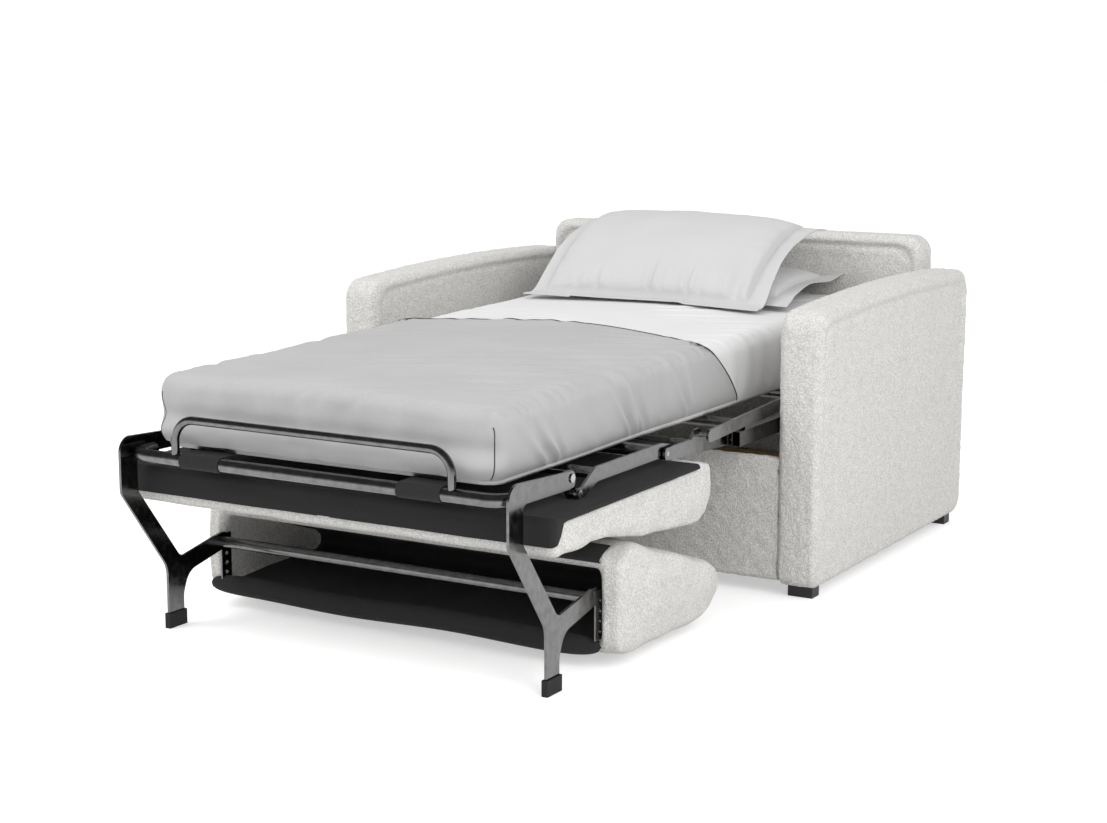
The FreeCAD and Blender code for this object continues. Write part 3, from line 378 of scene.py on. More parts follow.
def piece_from(name, points, quads, fans=NO_FANS, flat_map=None, normals=None):
    """A smooth mesh object from arrays of points and faces, and a cloth map and normals if given."""
    mesh = bpy.data.meshes.new(name)
    loops = np.concatenate([quads.ravel(), fans.ravel()]).astype(np.int32)
    counts = np.concatenate([np.full(len(quads), 4), np.full(len(fans), 3)])
    mesh.vertices.add(len(points))
    mesh.vertices.foreach_set("co", points.astype(np.float32).ravel())
    mesh.loops.add(len(loops))
    mesh.loops.foreach_set("vertex_index", loops)
    mesh.polygons.add(len(counts))
    starts = np.concatenate([[0], np.cumsum(counts)[:-1]])
    mesh.polygons.foreach_set("loop_start", starts.astype(np.int32))
    mesh.update(calc_edges=True)
    mesh.polygons.foreach_set("use_smooth", np.ones(len(counts), bool))
    if flat_map is not None:
        layer = mesh.uv_layers.new(name="cloth_map")
        layer.data.foreach_set("uv", flat_map[loops].astype(np.float32).ravel())
    if normals is not None:
        mesh.normals_split_custom_set_from_vertices(normals.tolist())
    mesh.update()
    return add_object(name, mesh)


def closed_rings(rings):
    """A closed form from rings in order: faces between them and a fan over each end, turned outwards."""
    count, around = rings.shape[:2]
    points = np.concatenate([rings.reshape(-1, 3), rings[0].mean(0)[None], rings[-1].mean(0)[None]])
    quads = grid_quads(count, around, wrap=True)
    k = np.arange(around)
    after = (k + 1) % around
    first = np.stack([np.full(around, count * around), after, k], axis=1)
    last = np.stack([np.full(around, count * around + 1), (count - 1) * around + k,
                     (count - 1) * around + after], axis=1)
    return turned_out(points, quads, np.concatenate([first, last]))


def layered_faces(rows, cols):
    """Faces of a thin closed form: a grid, the same grid turned over on the other side, and a rim."""
    count = rows * cols
    quads = grid_quads(rows, cols)
    edge = np.concatenate([np.arange(cols), np.arange(1, rows) * cols + cols - 1,
                           (rows - 1) * cols + np.arange(cols - 2, -1, -1),
                           np.arange(rows - 2, 0, -1) * cols])
    after = np.roll(edge, -1)
    rim = np.stack([edge, edge + count, after + count, after], axis=1)
    return np.concatenate([quads, quads[:, ::-1] + count, rim])


def lumps(points, reach, seed, waves=28):
    """A smooth random field of about unit height: many sine waves in seeded directions, one size."""
    random = np.random.default_rng(seed)
    ways = unit(random.normal(size=(waves, 3)))
    rates = 2.0 * math.pi / (reach * random.uniform(0.7, 1.5, waves))
    starts = random.uniform(0.0, 2.0 * math.pi, waves)
    return np.sin(points @ (ways * rates[:, None]).T + starts).sum(axis=1) * math.sqrt(2.0 / waves)


def roughened(form, *terms, share=1.0):
    """A closed form moved out along its normals by lumps, each given as height, reach and seed."""
    points, quads, fans = form
    height = sum(size * lumps(points, reach, seed) for size, reach, seed in terms)
    return points + normals_of(points, quads, fans) * (share * height)[:, None], quads, fans


def smooth_step(value, low, high):
    """0 below low, 1 above high, and an easy S between them."""
    share = np.clip((value - low) / (high - low), 0.0, 1.0)
    return share * share * (3.0 - 2.0 * share)


def bell(value, centre, width):
    """A bell curve of unit height."""
    return np.exp(-((value - centre) / width) ** 2)


def rounded(corners, radii, count, closed=True):
    """An outline through given corners, each rounded by an arc, as evenly spaced points."""
    corners = np.asarray(corners, float)
    line = []
    for i, here in enumerate(corners):
        before = corners[i - 1] - here
        after = corners[(i + 1) % len(corners)] - here
        before /= np.linalg.norm(before)
        after /= np.linalg.norm(after)
        half_turn = 0.5 * math.acos(float(np.clip(before @ after, -1.0, 1.0)))
        radius = radii[i]
        if radius <= 0 or abs(half_turn - 0.5 * math.pi) < 1e-3:
            line.append(here[None])
            continue
        reach = radius / math.tan(half_turn)
        middle = here + (before + after) / np.linalg.norm(before + after) * radius / math.sin(half_turn)
        start = here + before * reach - middle
        stop = here + after * reach - middle
        opening = math.acos(float(np.clip(start @ stop / radius ** 2, -1.0, 1.0)))
        steps = np.linspace(0.0, 1.0, 13)[:, None]
        line.append(middle + (np.sin((1 - steps) * opening) * start + np.sin(steps * opening) * stop)
                    / math.sin(opening))
    line = np.concatenate(line)
    return evenly(np.concatenate([line, line[:1]]) if closed else line, count)


def travelled(line):
    """Distance from the start of a line to each of its points."""
    return np.concatenate([[0.0], np.cumsum(np.linalg.norm(np.diff(line, axis=0), axis=1))])


def evenly(line, count):
    """A line of points spaced again at equal lengths, without its last point."""
    far = travelled(line)
    wanted = np.linspace(0.0, far[-1], count, endpoint=False)
    return np.stack([np.interp(wanted, far, line[:, k]) for k in range(line.shape[1])], axis=1)


def drawn_in(outline, inset, scale, across):
    """Rings across a panel: each is the outline drawn in by an inset and scaled, at one place across."""
    low, high = outline.min(0), outline.max(0)
    middle, half = (low + high) / 2, (high - low) / 2
    share = (1.0 - inset[:, None] / half[None, :]) * scale[:, None]
    flat = middle + (outline - middle)[None] * share[:, None, :]
    side = np.broadcast_to(across[:, None, None], flat.shape[:2] + (1,))
    return np.concatenate([side, flat], axis=2)


def box_profile(low, high, corner, step, panel_rings):
    """Insets, scales and places across for a boxed cushion: panel, round corner, band, corner, panel."""
    bands = max(3, int((high - low - 2 * corner) / step))
    quarter = np.linspace(0.0, 0.5 * math.pi, 7)
    edge_inset = corner * (1.0 - np.sin(quarter))
    edge_across = corner * (1.0 - np.cos(quarter))
    near = np.arange(0.075, corner + 0.5 * step, -step)
    band = np.linspace(low + corner, high - corner, bands)[1:-1]
    shrink = np.linspace(0.06, 1.0, panel_rings, endpoint=False)
    inset = np.concatenate([np.full(panel_rings, near[0]), near, edge_inset, np.zeros(len(band))])
    inset = np.concatenate([inset, edge_inset[::-1], near[::-1], np.full(panel_rings, near[0])])
    scale = np.concatenate([shrink, np.ones(len(inset) - 2 * panel_rings), shrink[::-1]])
    across = np.concatenate([np.full(panel_rings + len(near), low), low + edge_across, band,
                             high - edge_across[::-1], np.full(panel_rings + len(near), high)])
    return inset, scale, across


def wear(piece, finish, body, stands_for=None, keep=None):
    """Give a piece its finish and the body that carries it, and where they are given, hide the CAD
    part it replaces and give the piece its own copy of its mesh."""
    piece.data.materials.clear()
    piece.data.materials.append(FINISHES[finish])
    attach(piece, body)
    if stands_for:
        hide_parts(stands_for)
    if keep:
        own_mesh(piece)


# Upholstered shell of the chair

PANEL_CORNER = 0.015
PANEL_STEP = 0.0035
PANEL_RINGS = 20
BACK_FRONT = 0.938
BACK_REAR = 1.020


def arm_outline(count):
    """An arm seen from the side: arched top, large corners above and small ones below."""
    front, rear, low = 0.040, 1.020, 0.030
    along = np.linspace(0.0, 1.0, 25)
    arch = 0.672 + 0.011 * along + 4.0 * 0.0145 * along * (1.0 - along)
    top = np.stack([front + along * (rear - front), arch], axis=1)
    corners = np.concatenate([[(front, low)], top, [(rear, low)]])
    radii = [0.024, 0.046] + [0.0] * (len(top) - 2) + [0.046, 0.040]
    return rounded(corners, radii, count)


def arm(side):
    """An arm: its side outline carried across in rings. The outer panel bulges to a ridge inside its
    seam along the top and the upper front, the inner panel has a smaller one, and the band is crowned."""
    outline = arm_outline(430)
    inset, scale, across = box_profile(0.0, ARM_WIDTH, PANEL_CORNER, PANEL_STEP, PANEL_RINGS)
    rings = drawn_in(outline, inset, scale, across)
    depth = (inset + (1.0 - scale) * 0.25)[:, None]
    height = rings[..., 2]
    upper = smooth_step(height, 0.30, 0.52)
    outer = smooth_step(rings[..., 0], 0.5 * ARM_WIDTH, ARM_WIDTH)
    inner = 1.0 - smooth_step(rings[..., 0], 0.0, 0.5 * ARM_WIDTH)
    ridge = 0.0040 * bell(depth, 0.020, 0.009) - 0.0040 * bell(depth, 0.039, 0.008)
    ridge_inner = 0.0030 * bell(depth, 0.016, 0.007) - 0.0025 * bell(depth, 0.031, 0.007)
    crown = 0.0035 * smooth_step(depth, 0.05, 0.20)
    rings[..., 0] += outer * (upper * ridge + crown) - inner * (upper * ridge_inner + 0.4 * crown)
    centre = rings.reshape(-1, 3)[:, 1:].mean(0)
    middle = np.clip((rings[..., 0] / ARM_WIDTH) * 2.0 - 1.0, -1.0, 1.0)
    band = (depth < 0.002) * (1.0 - middle ** 2) * 0.0025
    rings[..., 1:] += band[..., None] * unit(rings[..., 1:] - centre)
    rings[..., 0] = side * (SEAT_GAP + rings[..., 0])
    form = roughened(closed_rings(rings), (0.0004, 0.022, 3), (0.0002, 0.009, 4))
    name = ("right" if side > 0 else "left") + "_arm"
    wear(piece_from(name + "_upholstery", *form), "boucle", "chair", name + "_cover")


def chair_back():
    """The back: its front outline carried from front to rear in rings, with a full band above a seam."""
    half, low, high = SEAT_GAP - 0.0005, 0.036, 0.770
    corners = [(-half, low), (-half, high), (half, high), (half, low)]
    outline = rounded(corners, [0.012, 0.046, 0.046, 0.012], 460)
    inset, scale, across = box_profile(BACK_FRONT, BACK_REAR, PANEL_CORNER, PANEL_STEP, PANEL_RINGS)
    rings = drawn_in(outline, inset, scale, across)
    depth = (inset + (1.0 - scale) * 0.25)[:, None]
    upper = smooth_step(rings[..., 2], 0.45, 0.62)
    facing = np.where(across < 0.5 * (BACK_FRONT + BACK_REAR), -1.0, 1.0)[:, None]
    ridge = 0.0045 * bell(depth, 0.018, 0.009) - 0.0040 * bell(depth, 0.033, 0.008)
    rings[..., 0] += facing * (upper * ridge + 0.003 * smooth_step(depth, 0.05, 0.2)) * (depth > 0.002)
    form = roughened(closed_rings(rings[..., [1, 0, 2]]), (0.0004, 0.022, 5), (0.0002, 0.009, 6))
    wear(piece_from("back_upholstery", *form), "boucle", "chair", "back_cover")


def front_panel():
    """The upholstered rail under the seat: a board's rounded section carried across the chair."""
    outline = rounded([(0.050, 0.036), (0.050, 0.330), (0.075, 0.330), (0.075, 0.036)],
                      [0.011, 0.009, 0.009, 0.011], 150)
    across = np.concatenate([np.full(4, -SEAT_GAP), np.linspace(-SEAT_GAP, SEAT_GAP, 180),
                             np.full(4, SEAT_GAP)])
    scale = np.concatenate([np.linspace(0.05, 0.9, 4), np.ones(180), np.linspace(0.9, 0.05, 4)])
    rings = drawn_in(outline, np.zeros(len(across)), scale, across)
    form = roughened(closed_rings(rings), (0.0006, 0.030, 7), (0.0002, 0.010, 8))
    wear(piece_from("front_rail_upholstery", *form), "boucle", "chair", "front_rail")


# Cushions of the closed chair, which hang under the open bed

FILL_FRAMES = 20
FILL_CAP = 0.008
FILLING = {"quality": 4, "mass": 0.3, "tension_stiffness": 15.0, "compression_stiffness": 15.0,
           "shear_stiffness": 5.0, "bending_stiffness": 0.5, "use_pressure": True,
           "uniform_pressure_force": 4.0}


def read_out(items, label, width, kind):
    """One array from a mesh's points or faces."""
    values = np.empty(width * len(items), kind)
    items.foreach_get(label, values)
    return values.reshape(-1, width)


def stuffed(name, form, voxel, hold):
    """A cushion's cover, filled: an even mesh of the plain form is blown up by a cloth simulation with
    pressure and no weight, and each point keeps its way up to a cap. hold is 0 where it stays in place."""
    blank = piece_from(name, *form)
    even = blank.modifiers.new("even", "REMESH")
    even.mode = "VOXEL"
    even.voxel_size = voxel
    mesh = bpy.data.meshes.new_from_object(blank.evaluated_get(bpy.context.evaluated_depsgraph_get()))
    bpy.data.objects.remove(blank)
    start = read_out(mesh.vertices, "co", 3, np.float32).astype(float)
    faces = read_out(mesh.polygons, "vertices", 4, np.int32)
    pad = add_object("pad", mesh)
    cloth = pad.modifiers.new("filling", "CLOTH")
    for label, value in FILLING.items():
        setattr(cloth.settings, label, value)
    cloth.settings.effector_weights.gravity = 0.0
    cloth.point_cache.frame_start = 1
    cloth.point_cache.frame_end = FILL_FRAMES
    for step in range(1, FILL_FRAMES + 1):
        bpy.context.scene.frame_set(step)
    blown = pad.evaluated_get(bpy.context.evaluated_depsgraph_get()).to_mesh()
    way = read_out(blown.vertices, "co", 3, np.float32) - start
    bpy.data.objects.remove(pad)
    bpy.context.scene.frame_set(1)
    size = np.linalg.norm(way, axis=1)
    way *= (np.minimum(1.0, FILL_CAP / np.maximum(size, 1e-9)) * hold(start))[:, None]
    piece = piece_from(name, start + way, faces)
    finer = piece.modifiers.new("finer", "SUBSURF")
    finer.levels = 1
    finer.render_levels = 1
    return piece


def seat_cushion():
    """The seat cushion, underside up: its side outline carried across in rings, its cheeks full."""
    corners = [(-0.947, 0.300), (-0.947, 0.3800), (-0.300, 0.3800), (-0.262, 0.372), (-0.246, 0.345),
               (-0.244, 0.290), (-0.258, 0.256), (-0.300, 0.240), (-0.560, 0.268), (-0.720, 0.297)]
    outline = rounded(corners, [0.022, 0.012, 0.04, 0.02, 0.03, 0.03, 0.03, 0.04, 0.2, 0.2], 300)
    inset, scale, across = box_profile(-0.545, 0.545, 0.014, 0.005, 14)
    rings = drawn_in(outline, np.minimum(inset, 0.055), scale, across)
    depth = (np.minimum(inset, 0.055) + (1.0 - scale) * 0.1)[:, None]
    cheek = np.sign(across)[:, None] * (np.abs(across) > 0.5)[:, None]
    rings[..., 0] += cheek * 0.006 * smooth_step(depth, 0.010, 0.055)
    form = closed_rings(rings)
    under = 1.0 - smooth_step(form[0][:, 2], 0.365, 0.379)
    calm = 0.3 + 0.7 * smooth_step(form[0][:, 1], -0.94, -0.88)
    form = roughened(form, (0.0014, 0.11, 11), (0.0002, 0.012, 12), share=under * calm)
    piece = stuffed("seat_cushion_upholstery", form, 0.010,
                    lambda at: ((1.0 - smooth_step(at[:, 2], 0.340, 0.372))
                                * smooth_step(at[:, 1], -0.945, -0.90)))
    wear(piece, "boucle", "seat_frame", "seat_cushion")


def pad_outline(count):
    """The back cushion from the side: a low front, a round rear and a top that slopes to the rear."""
    corners = [(-0.680, 0.030), (-0.680, 0.240), (-0.610, 0.262), (-0.270, 0.152), (-0.222, 0.118),
               (-0.216, 0.075), (-0.250, 0.036), (-0.362, 0.026)]
    return rounded(corners, [0.040, 0.030, 0.08, 0.06, 0.04, 0.03, 0.04, 0.2], count)


def pad_cheek(side):
    """A cheek of the back cushion: the side outline carried over the cheek's width in rings."""
    inset, scale, across = box_profile(0.494, 0.552, 0.016, 0.006, 12)
    rings = drawn_in(pad_outline(220), np.minimum(inset, 0.07), scale, side * across)
    depth = (np.minimum(inset, 0.07) + (1.0 - scale) * 0.12)[:, None]
    outer = side * smooth_step(across, 0.52, 0.55)[:, None]
    rings[..., 0] += outer * 0.010 * smooth_step(depth, 0.012, 0.09)
    form = closed_rings(rings)
    return form, smooth_step(side * form[0][:, 0], 0.498, 0.520)


def pad_band():
    """The roof, rear and floor of the back cushion: a thick C section carried between its cheeks."""
    outer = pad_outline(400)
    far = outer[(outer[:, 0] > -0.676)]
    start = int(np.argmax(np.linalg.norm(np.diff(far, axis=0, append=far[:1]), axis=1))) + 1
    far = np.roll(far, -start, axis=0)
    inner = np.array([(-0.676, 0.234), (-0.600, 0.208), (-0.330, 0.120), (-0.308, 0.100), (-0.308, 0.072),
                      (-0.330, 0.058), (-0.676, 0.058)])
    if far[0, 1] > far[-1, 1]:
        inner = inner[::-1]
    radii = [0.0] * len(far) + [0.012] + [0.03] * 5 + [0.012]
    section = rounded(np.concatenate([far, inner]), radii, 360)
    across = np.linspace(-0.500, 0.500, 110)
    rings = drawn_in(section, np.zeros(len(across)), np.ones(len(across)), across)
    points, quads, fans = closed_rings(rings)
    apart = np.linalg.norm(points[:, None, 1:] - outer[None, ::4], axis=2).min(axis=1)
    outside = 1.0 - smooth_step(apart, 0.004, 0.012)
    return (points, quads, fans), outside * smooth_step(points[:, 1], -0.655, -0.600)


def joined_forms(forms):
    """Several closed forms as one set of points and faces."""
    points, quads, fans, first = [], [], [], 0
    for form in forms:
        points.append(form[0])
        quads.append(form[1] + first)
        fans.append(form[2] + first)
        first += len(form[0])
    return np.concatenate(points), np.concatenate(quads), np.concatenate(fans)


def off_lining(points):
    """1 on the outside of the back cushion's band and 0 on its lined surfaces and its front lip."""
    outer = pad_outline(200)
    apart = np.linalg.norm(points[:, None, 1:] - outer[None], axis=2).min(axis=1)
    return (1.0 - smooth_step(apart, 0.006, 0.014)) * smooth_step(points[:, 1], -0.655, -0.600)


def back_cushion():
    """The hollow back cushion: two cheeks and the band between them, puckered a little by its filling."""
    forms, shares = zip(pad_cheek(-1.0), pad_cheek(1.0), pad_band())
    form = roughened(joined_forms(forms), (0.0016, 0.10, 13), (0.0002, 0.012, 14),
                     share=np.concatenate(shares))
    piece = stuffed("back_cushion_upholstery", form, 0.0115,
                    lambda at: np.maximum(smooth_step(np.abs(at[:, 0]), 0.500, 0.525), off_lining(at)))
    wear(piece, "boucle", "leg_frame", "back_cushion")


def hem_roll():
    """The rolled hem of the lining along the front of the hollow: an oval carried across, tapered at
    both ends and a little uneven along its length."""
    along = np.linspace(-1.0, 1.0, 140)
    turn = np.linspace(0.0, 2.0 * math.pi, 32, endpoint=False)
    taper = np.sqrt(np.clip(1.0 - np.abs(along) ** 14, 0.0, 1.0)) * 0.97 + 0.03
    wobble = 1.0 + 0.05 * np.sin(9.0 * along + 1.0) + 0.04 * np.sin(17.0 * along)
    rings = np.zeros((len(along), len(turn), 3))
    rings[..., 0] = (-0.015 + 0.515 * along)[:, None]
    rings[..., 1] = -0.678 + (taper * wobble * 0.017)[:, None] * np.cos(turn)
    rings[..., 2] = (0.053 + (0.003 * np.sin(6.0 * along))[:, None]
                     + (taper * 0.024)[:, None] * np.sin(turn))
    points, quads, fans = closed_rings(rings)
    piece = piece_from("hollow_hem_roll", points, quads, fans, points[:, :2])
    wear(piece, "black_lining", "leg_frame")


def hollow_bag():
    """The black lining of the hollow: one cloth that wraps the roof's front lip, lines the roof, the
    rear and the floor between the cheeks, and hangs in a few soft folds."""
    corners = [(-0.628, 0.2580), (-0.6596, 0.2487), (-0.6745, 0.2392), (-0.6785, 0.2325),
               (-0.6740, 0.2292), (-0.600, 0.2045), (-0.334, 0.1168), (-0.3115, 0.0990),
               (-0.3115, 0.0745), (-0.332, 0.0605), (-0.672, 0.0605)]
    radii = [0.0, 0.03, 0.02, 0.004, 0.004, 0.05, 0.02, 0.02, 0.02, 0.02, 0.0]
    path = rounded(corners, radii, 220, closed=False)
    across = np.linspace(-0.4935, 0.4935, 110)
    skin = np.empty((len(path), len(across), 3))
    skin[..., 0] = across[None]
    skin[..., 1:] = path[:, None]
    deep = smooth_step(skin[..., 1], -0.66, -0.5)
    fold = 1.0 + 0.6 * np.sin(skin[..., 0] * 31.0 + 6.0 * skin[..., 1])
    fold += 0.4 * np.sin(skin[..., 0] * 53.0 + 2.0)
    skin += skin_normals(skin) * (0.0022 * deep * fold)[..., None]
    piece = cloth_shell("hollow_lining_cloth", skin, skin_normals(skin), spread_map(skin), LINING_THICK)
    wear(piece, "black_lining", "leg_frame", "hollow_lining")


# Bedding

SIDE_STEPS = 18
ARC_STEPS = 8
TOP_STEPS = 96
BLANKET_NODES = {section: "blanket_" + section for section in SECTIONS[:3]}
# Gathers in the sides: place along the bed, width, lean towards the foot, depth.
RIGHT_GATHERS = ((-0.760, 0.020, 0.9, 0.0105), (-0.718, 0.014, 0.9, 0.0085), (-0.410, 0.014, 0.8, 0.0105),
                 (-0.348, 0.013, 0.7, 0.0080), (-0.146, 0.014, 0.6, 0.0100), (-0.560, 0.030, 0.5, 0.0036),
                 (-0.250, 0.025, 0.5, 0.0040), (0.130, 0.020, 0.2, 0.0055), (0.215, 0.016, 0.2, 0.0050),
                 (0.300, 0.022, 0.3, 0.0055), (0.360, 0.016, 0.2, 0.0045))
LEFT_GATHERS = ((-0.700, 0.016, 0.8, 0.0085), (-0.330, 0.016, 0.7, 0.0090), (-0.120, 0.014, 0.6, 0.0080),
                (0.280, 0.020, 0.3, 0.0050), (-0.540, 0.028, 0.5, 0.0040))
SIDE_GATHERS = ([(1.0,) + gather for gather in RIGHT_GATHERS]
                + [(-1.0,) + gather for gather in LEFT_GATHERS])


def bed_top(y):
    """Height of the mattress's top edge: a little higher at the head than at the foot."""
    return 0.580 + (y - BED_FOOT) / (BED_HEAD - BED_FOOT) * 0.026


def bed_sections(y, half, low, top, corner, crown):
    """Rows of sections across the bed. Each goes up one side, round a quarter circle, over the crowned
    top and down the other side. All arguments but the last two are one number for each row."""
    y, half, low, top = (np.asarray(v, float)[:, None] for v in (y, half, low, top))
    up = np.linspace(0.0, 1.0, SIDE_STEPS, endpoint=False)[None, :]
    turn = np.linspace(0.0, 0.5 * math.pi, ARC_STEPS, endpoint=False)[None, :]
    over = np.linspace(-1.0, 0.0, TOP_STEPS // 2 + 1)[None, :]
    radius = np.minimum(corner, 0.8 * (top - low))
    ones = np.ones_like(half)
    x = np.concatenate([-half * np.ones_like(up), -half + radius * (1.0 - np.cos(turn)),
                        (half - radius) * over], axis=1)
    z = np.concatenate([low + up * (top - radius - low), top - radius * (1.0 - np.sin(turn)),
                        top + crown * (1.0 - over ** 2) ** 2 * ones], axis=1)
    x = np.concatenate([x, -x[:, -2::-1]], axis=1)
    z = np.concatenate([z, z[:, -2::-1]], axis=1)
    return np.stack([x, y * np.ones_like(x), z], axis=2)


def rounded_foot(foot, reach, rows):
    """Places and insets of the rows that turn from the flat foot face into the length of the bed."""
    turn = np.linspace(0.0, 0.5 * math.pi, rows)
    return foot + reach * (1.0 - np.cos(turn)), reach * (1.0 - np.sin(turn))


def rows_between(low, high, step):
    """Evenly spaced rows from one hinge to the next, both ends kept."""
    return np.linspace(low, high, max(2, int(round((high - low) / step)) + 1))


def bed_folds(points, lift):
    """The cloth's folds, as a height over the plain form. Long low ripples lie over the top along one
    slanting way, gathers run down the sides from the hem, and the foot face sags under the stop bar."""
    x, y, z = points[..., 0], points[..., 1], points[..., 2]
    top = bed_top(y)
    flat = points.reshape(-1, 3)
    drift = lumps(flat, 0.5, 21).reshape(x.shape)
    patch = smooth_step(lumps(flat * np.array((1.0, 1.0, 0.3)), 0.35, 22).reshape(x.shape), -0.9, 0.9)
    across = -0.51 * x + 0.86 * y
    ripple = (np.sin(across * 150.0 + 1.4 * drift) + 0.7 * np.sin(across * 236.0 + 2.1 * drift + 1.0)
              + 0.4 * np.sin(across * 90.0 - 1.1 * drift + 2.0))
    on_top = smooth_step(z, top - 0.03, top)
    toward_right = 0.35 + 0.65 * smooth_step(x, -0.35, 0.30)
    height = lift * 0.0023 * on_top * patch * ripple * toward_right
    rise = np.clip((z - 0.445) / 0.15, 0.0, 1.2)
    for side, place, width, lean, depth in SIDE_GATHERS:
        line = place - lean * rise * 0.12
        off = (y - line) / (width * (0.6 + 1.1 * rise))
        near = smooth_step(side * x, 0.30, 0.42)
        fade = np.clip(1.25 - rise, 0.0, 1.0) * smooth_step(rise, -0.05, 0.25)
        ridges = 0.75 * np.exp(-(np.abs(off) - 1.7) ** 2)
        height += lift * near * fade * depth * (ridges - np.exp(-off ** 2))
    foot = 1.0 - smooth_step(y, BED_FOOT - 0.005, BED_FOOT + 0.03)
    roll = 0.008 * bell(z, 0.468, 0.020) - 0.005 * bell(z, 0.505, 0.018)
    slant = np.sin(34.0 * x + 22.0 * z + 1.5 * drift) * 0.0026
    slant += np.sin(61.0 * x - 30.0 * z + drift) * 0.0018 + np.sin(104.0 * x + 12.0 * z - drift) * 0.0009
    height += lift * foot * (roll + slant)
    height += lift * 0.0012 * drift * (1.0 - foot)
    return height


def with_foot_face(base, low, rows, bow):
    """A grid with a flat face before it: its first row drawn in towards a point low in the middle."""
    share = np.linspace(0.03, 1.0, rows, endpoint=False)[:, None]
    face = base[0][None].repeat(rows, axis=0)
    face[..., 0] *= share
    face[..., 2] = low + (face[..., 2] - low) * share
    face[..., 1] -= bow(face, share)
    return np.concatenate([face, base])


def bed_skin(y_rows, insets, out, low, lift, foot_rows):
    """The skin of the bed as a grid of points: a flat foot face in shrinking rows, a rounded foot edge,
    then sections along the bed, all moved out along their normals by the cloth's folds."""
    base = bed_sections(y_rows, BED_HALF + out - insets, np.full(len(y_rows), low),
                        bed_top(y_rows) + out - insets, BED_CORNER, BED_CROWN)
    base = with_foot_face(base, low, foot_rows, lambda face, share: 0.006 * (1.0 - share ** 2))
    rows, cols = base.shape[:2]
    normal = upward_normals(base, rows // 2, cols // 2)
    tuck = 0.010 * np.exp(-((base[..., 2] - low) / 0.012)) * (np.abs(base[..., 0]) > 0.30)
    skin = base + normal * bed_folds(base, lift)[..., None]
    skin[..., 0] -= np.sign(base[..., 0]) * tuck * lift
    return skin


def spread_map(skin):
    """The cloth's flat map in metres: travelled length across each row and along each column."""
    across = np.cumsum(np.linalg.norm(np.diff(skin, axis=1, prepend=skin[:, :1]), axis=2), axis=1)
    along = np.cumsum(np.linalg.norm(np.diff(skin, axis=0, prepend=skin[:1]), axis=2), axis=0)
    return np.stack([across, along], axis=2)


def upward_normals(grid, row, col, wrap=False):
    """Normals of a grid of points, turned so that the one at a given row and column looks up."""
    quads = grid_quads(*grid.shape[:2], wrap=wrap)
    normal = normals_of(grid.reshape(-1, 3), quads).reshape(grid.shape)
    return -normal if normal[row, col, 2] < 0 else normal


def skin_normals(skin):
    """Normals of a cloth that look up in the middle of its last row."""
    return upward_normals(skin, -1, skin.shape[1] // 2)


def cloth_shell(name, skin, normal, flat_map, thick):
    """A thin closed shell: the skin, the same skin moved in by the cloth's thickness, and a rim."""
    points = np.concatenate([skin.reshape(-1, 3), (skin - normal * thick).reshape(-1, 3)])
    form = turned_out(points, layered_faces(*skin.shape[:2]))
    own = np.concatenate([normal.reshape(-1, 3), -normal.reshape(-1, 3)])
    return piece_from(name, *form, np.concatenate([flat_map.reshape(-1, 2)] * 2), own)


def blanket_head_edge(skin_row):
    """Where the blanket ends towards the head, for each place across: bowed over the top, and slanting
    towards the head down the sides."""
    x, z = skin_row[:, 0], skin_row[:, 2]
    over = 0.030 - 0.100 * (x / BED_HALF) ** 2
    drop = np.clip((bed_top(-0.05) - z) / 0.150, 0.0, 1.0)
    return np.where(np.abs(x) > BED_HALF - 0.03, -0.070 + 0.185 * drop ** 0.8, over)


def blanket():
    """The grey blanket: one skin over the foot, sides and top, parted where the deck folds."""
    foot, insets = rounded_foot(BED_FOOT - 0.008, FOOT_TURN, 9)
    limits = (foot[-1],) + HINGES[:3] + (HINGES[2] + 0.15,)
    spans = [rows_between(limits[k], limits[k + 1], 0.006)[1:] for k in range(4)]
    y_rows = np.concatenate([foot] + spans)
    all_insets = np.concatenate([insets, np.zeros(len(y_rows) - len(insets))])
    foot_rows = 26
    skin = bed_skin(y_rows, all_insets, 0.0085, BLANKET_HEM, 1.0, foot_rows)
    first_tail = foot_rows + len(foot) + sum(len(s) for s in spans[:3])
    hinge_row = skin[first_tail - 1]
    way = np.maximum(blanket_head_edge(hinge_row), HINGES[2] + 0.004) - hinge_row[:, 1]
    share = np.linspace(0.0, 1.0, len(spans[3]) + 1)[1:, None]
    skin[first_tail:, :, 1] = hinge_row[None, :, 1] + share * way[None]
    normal = skin_normals(skin)
    flat_map = spread_map(skin)
    marks = np.cumsum([foot_rows + len(foot) - 1 + len(spans[0])] + [len(s) for s in spans[1:]])
    starts = np.concatenate([[0], marks[:-1]])
    for section, begin, stop in zip(SECTIONS, starts, marks):
        part = slice(begin, stop + 1)
        piece = cloth_shell("blanket_%s_cloth" % section, skin[part], normal[part], flat_map[part],
                            BLANKET_THICK)
        wear(piece, "grey_blanket", CARRIERS[section], BLANKET_NODES.get(section), SQUASH_KEEP)
    # A near-black cord is laid along each foot corner's seam and along the blanket's head edge.
    corner_row = foot_rows + 3
    sides = {"right": slice(-SIDE_STEPS - 3, None), "left": slice(SIDE_STEPS + 2, None, -1)}
    for name, side in sides.items():
        seam = cord_along("blanket_%s_corner_seam" % name, skin[corner_row, side],
                          normal[corner_row, side], 0.0011)
        wear(seam, "near_black_cord", "leg_frame", keep=SQUASH_KEEP)
    head_edge_cord = cord_along("blanket_head_edge_cord", skin[-1], normal[-1], 0.0016)
    wear(head_edge_cord, "near_black_cord", "middle_frame", keep=SQUASH_KEEP)


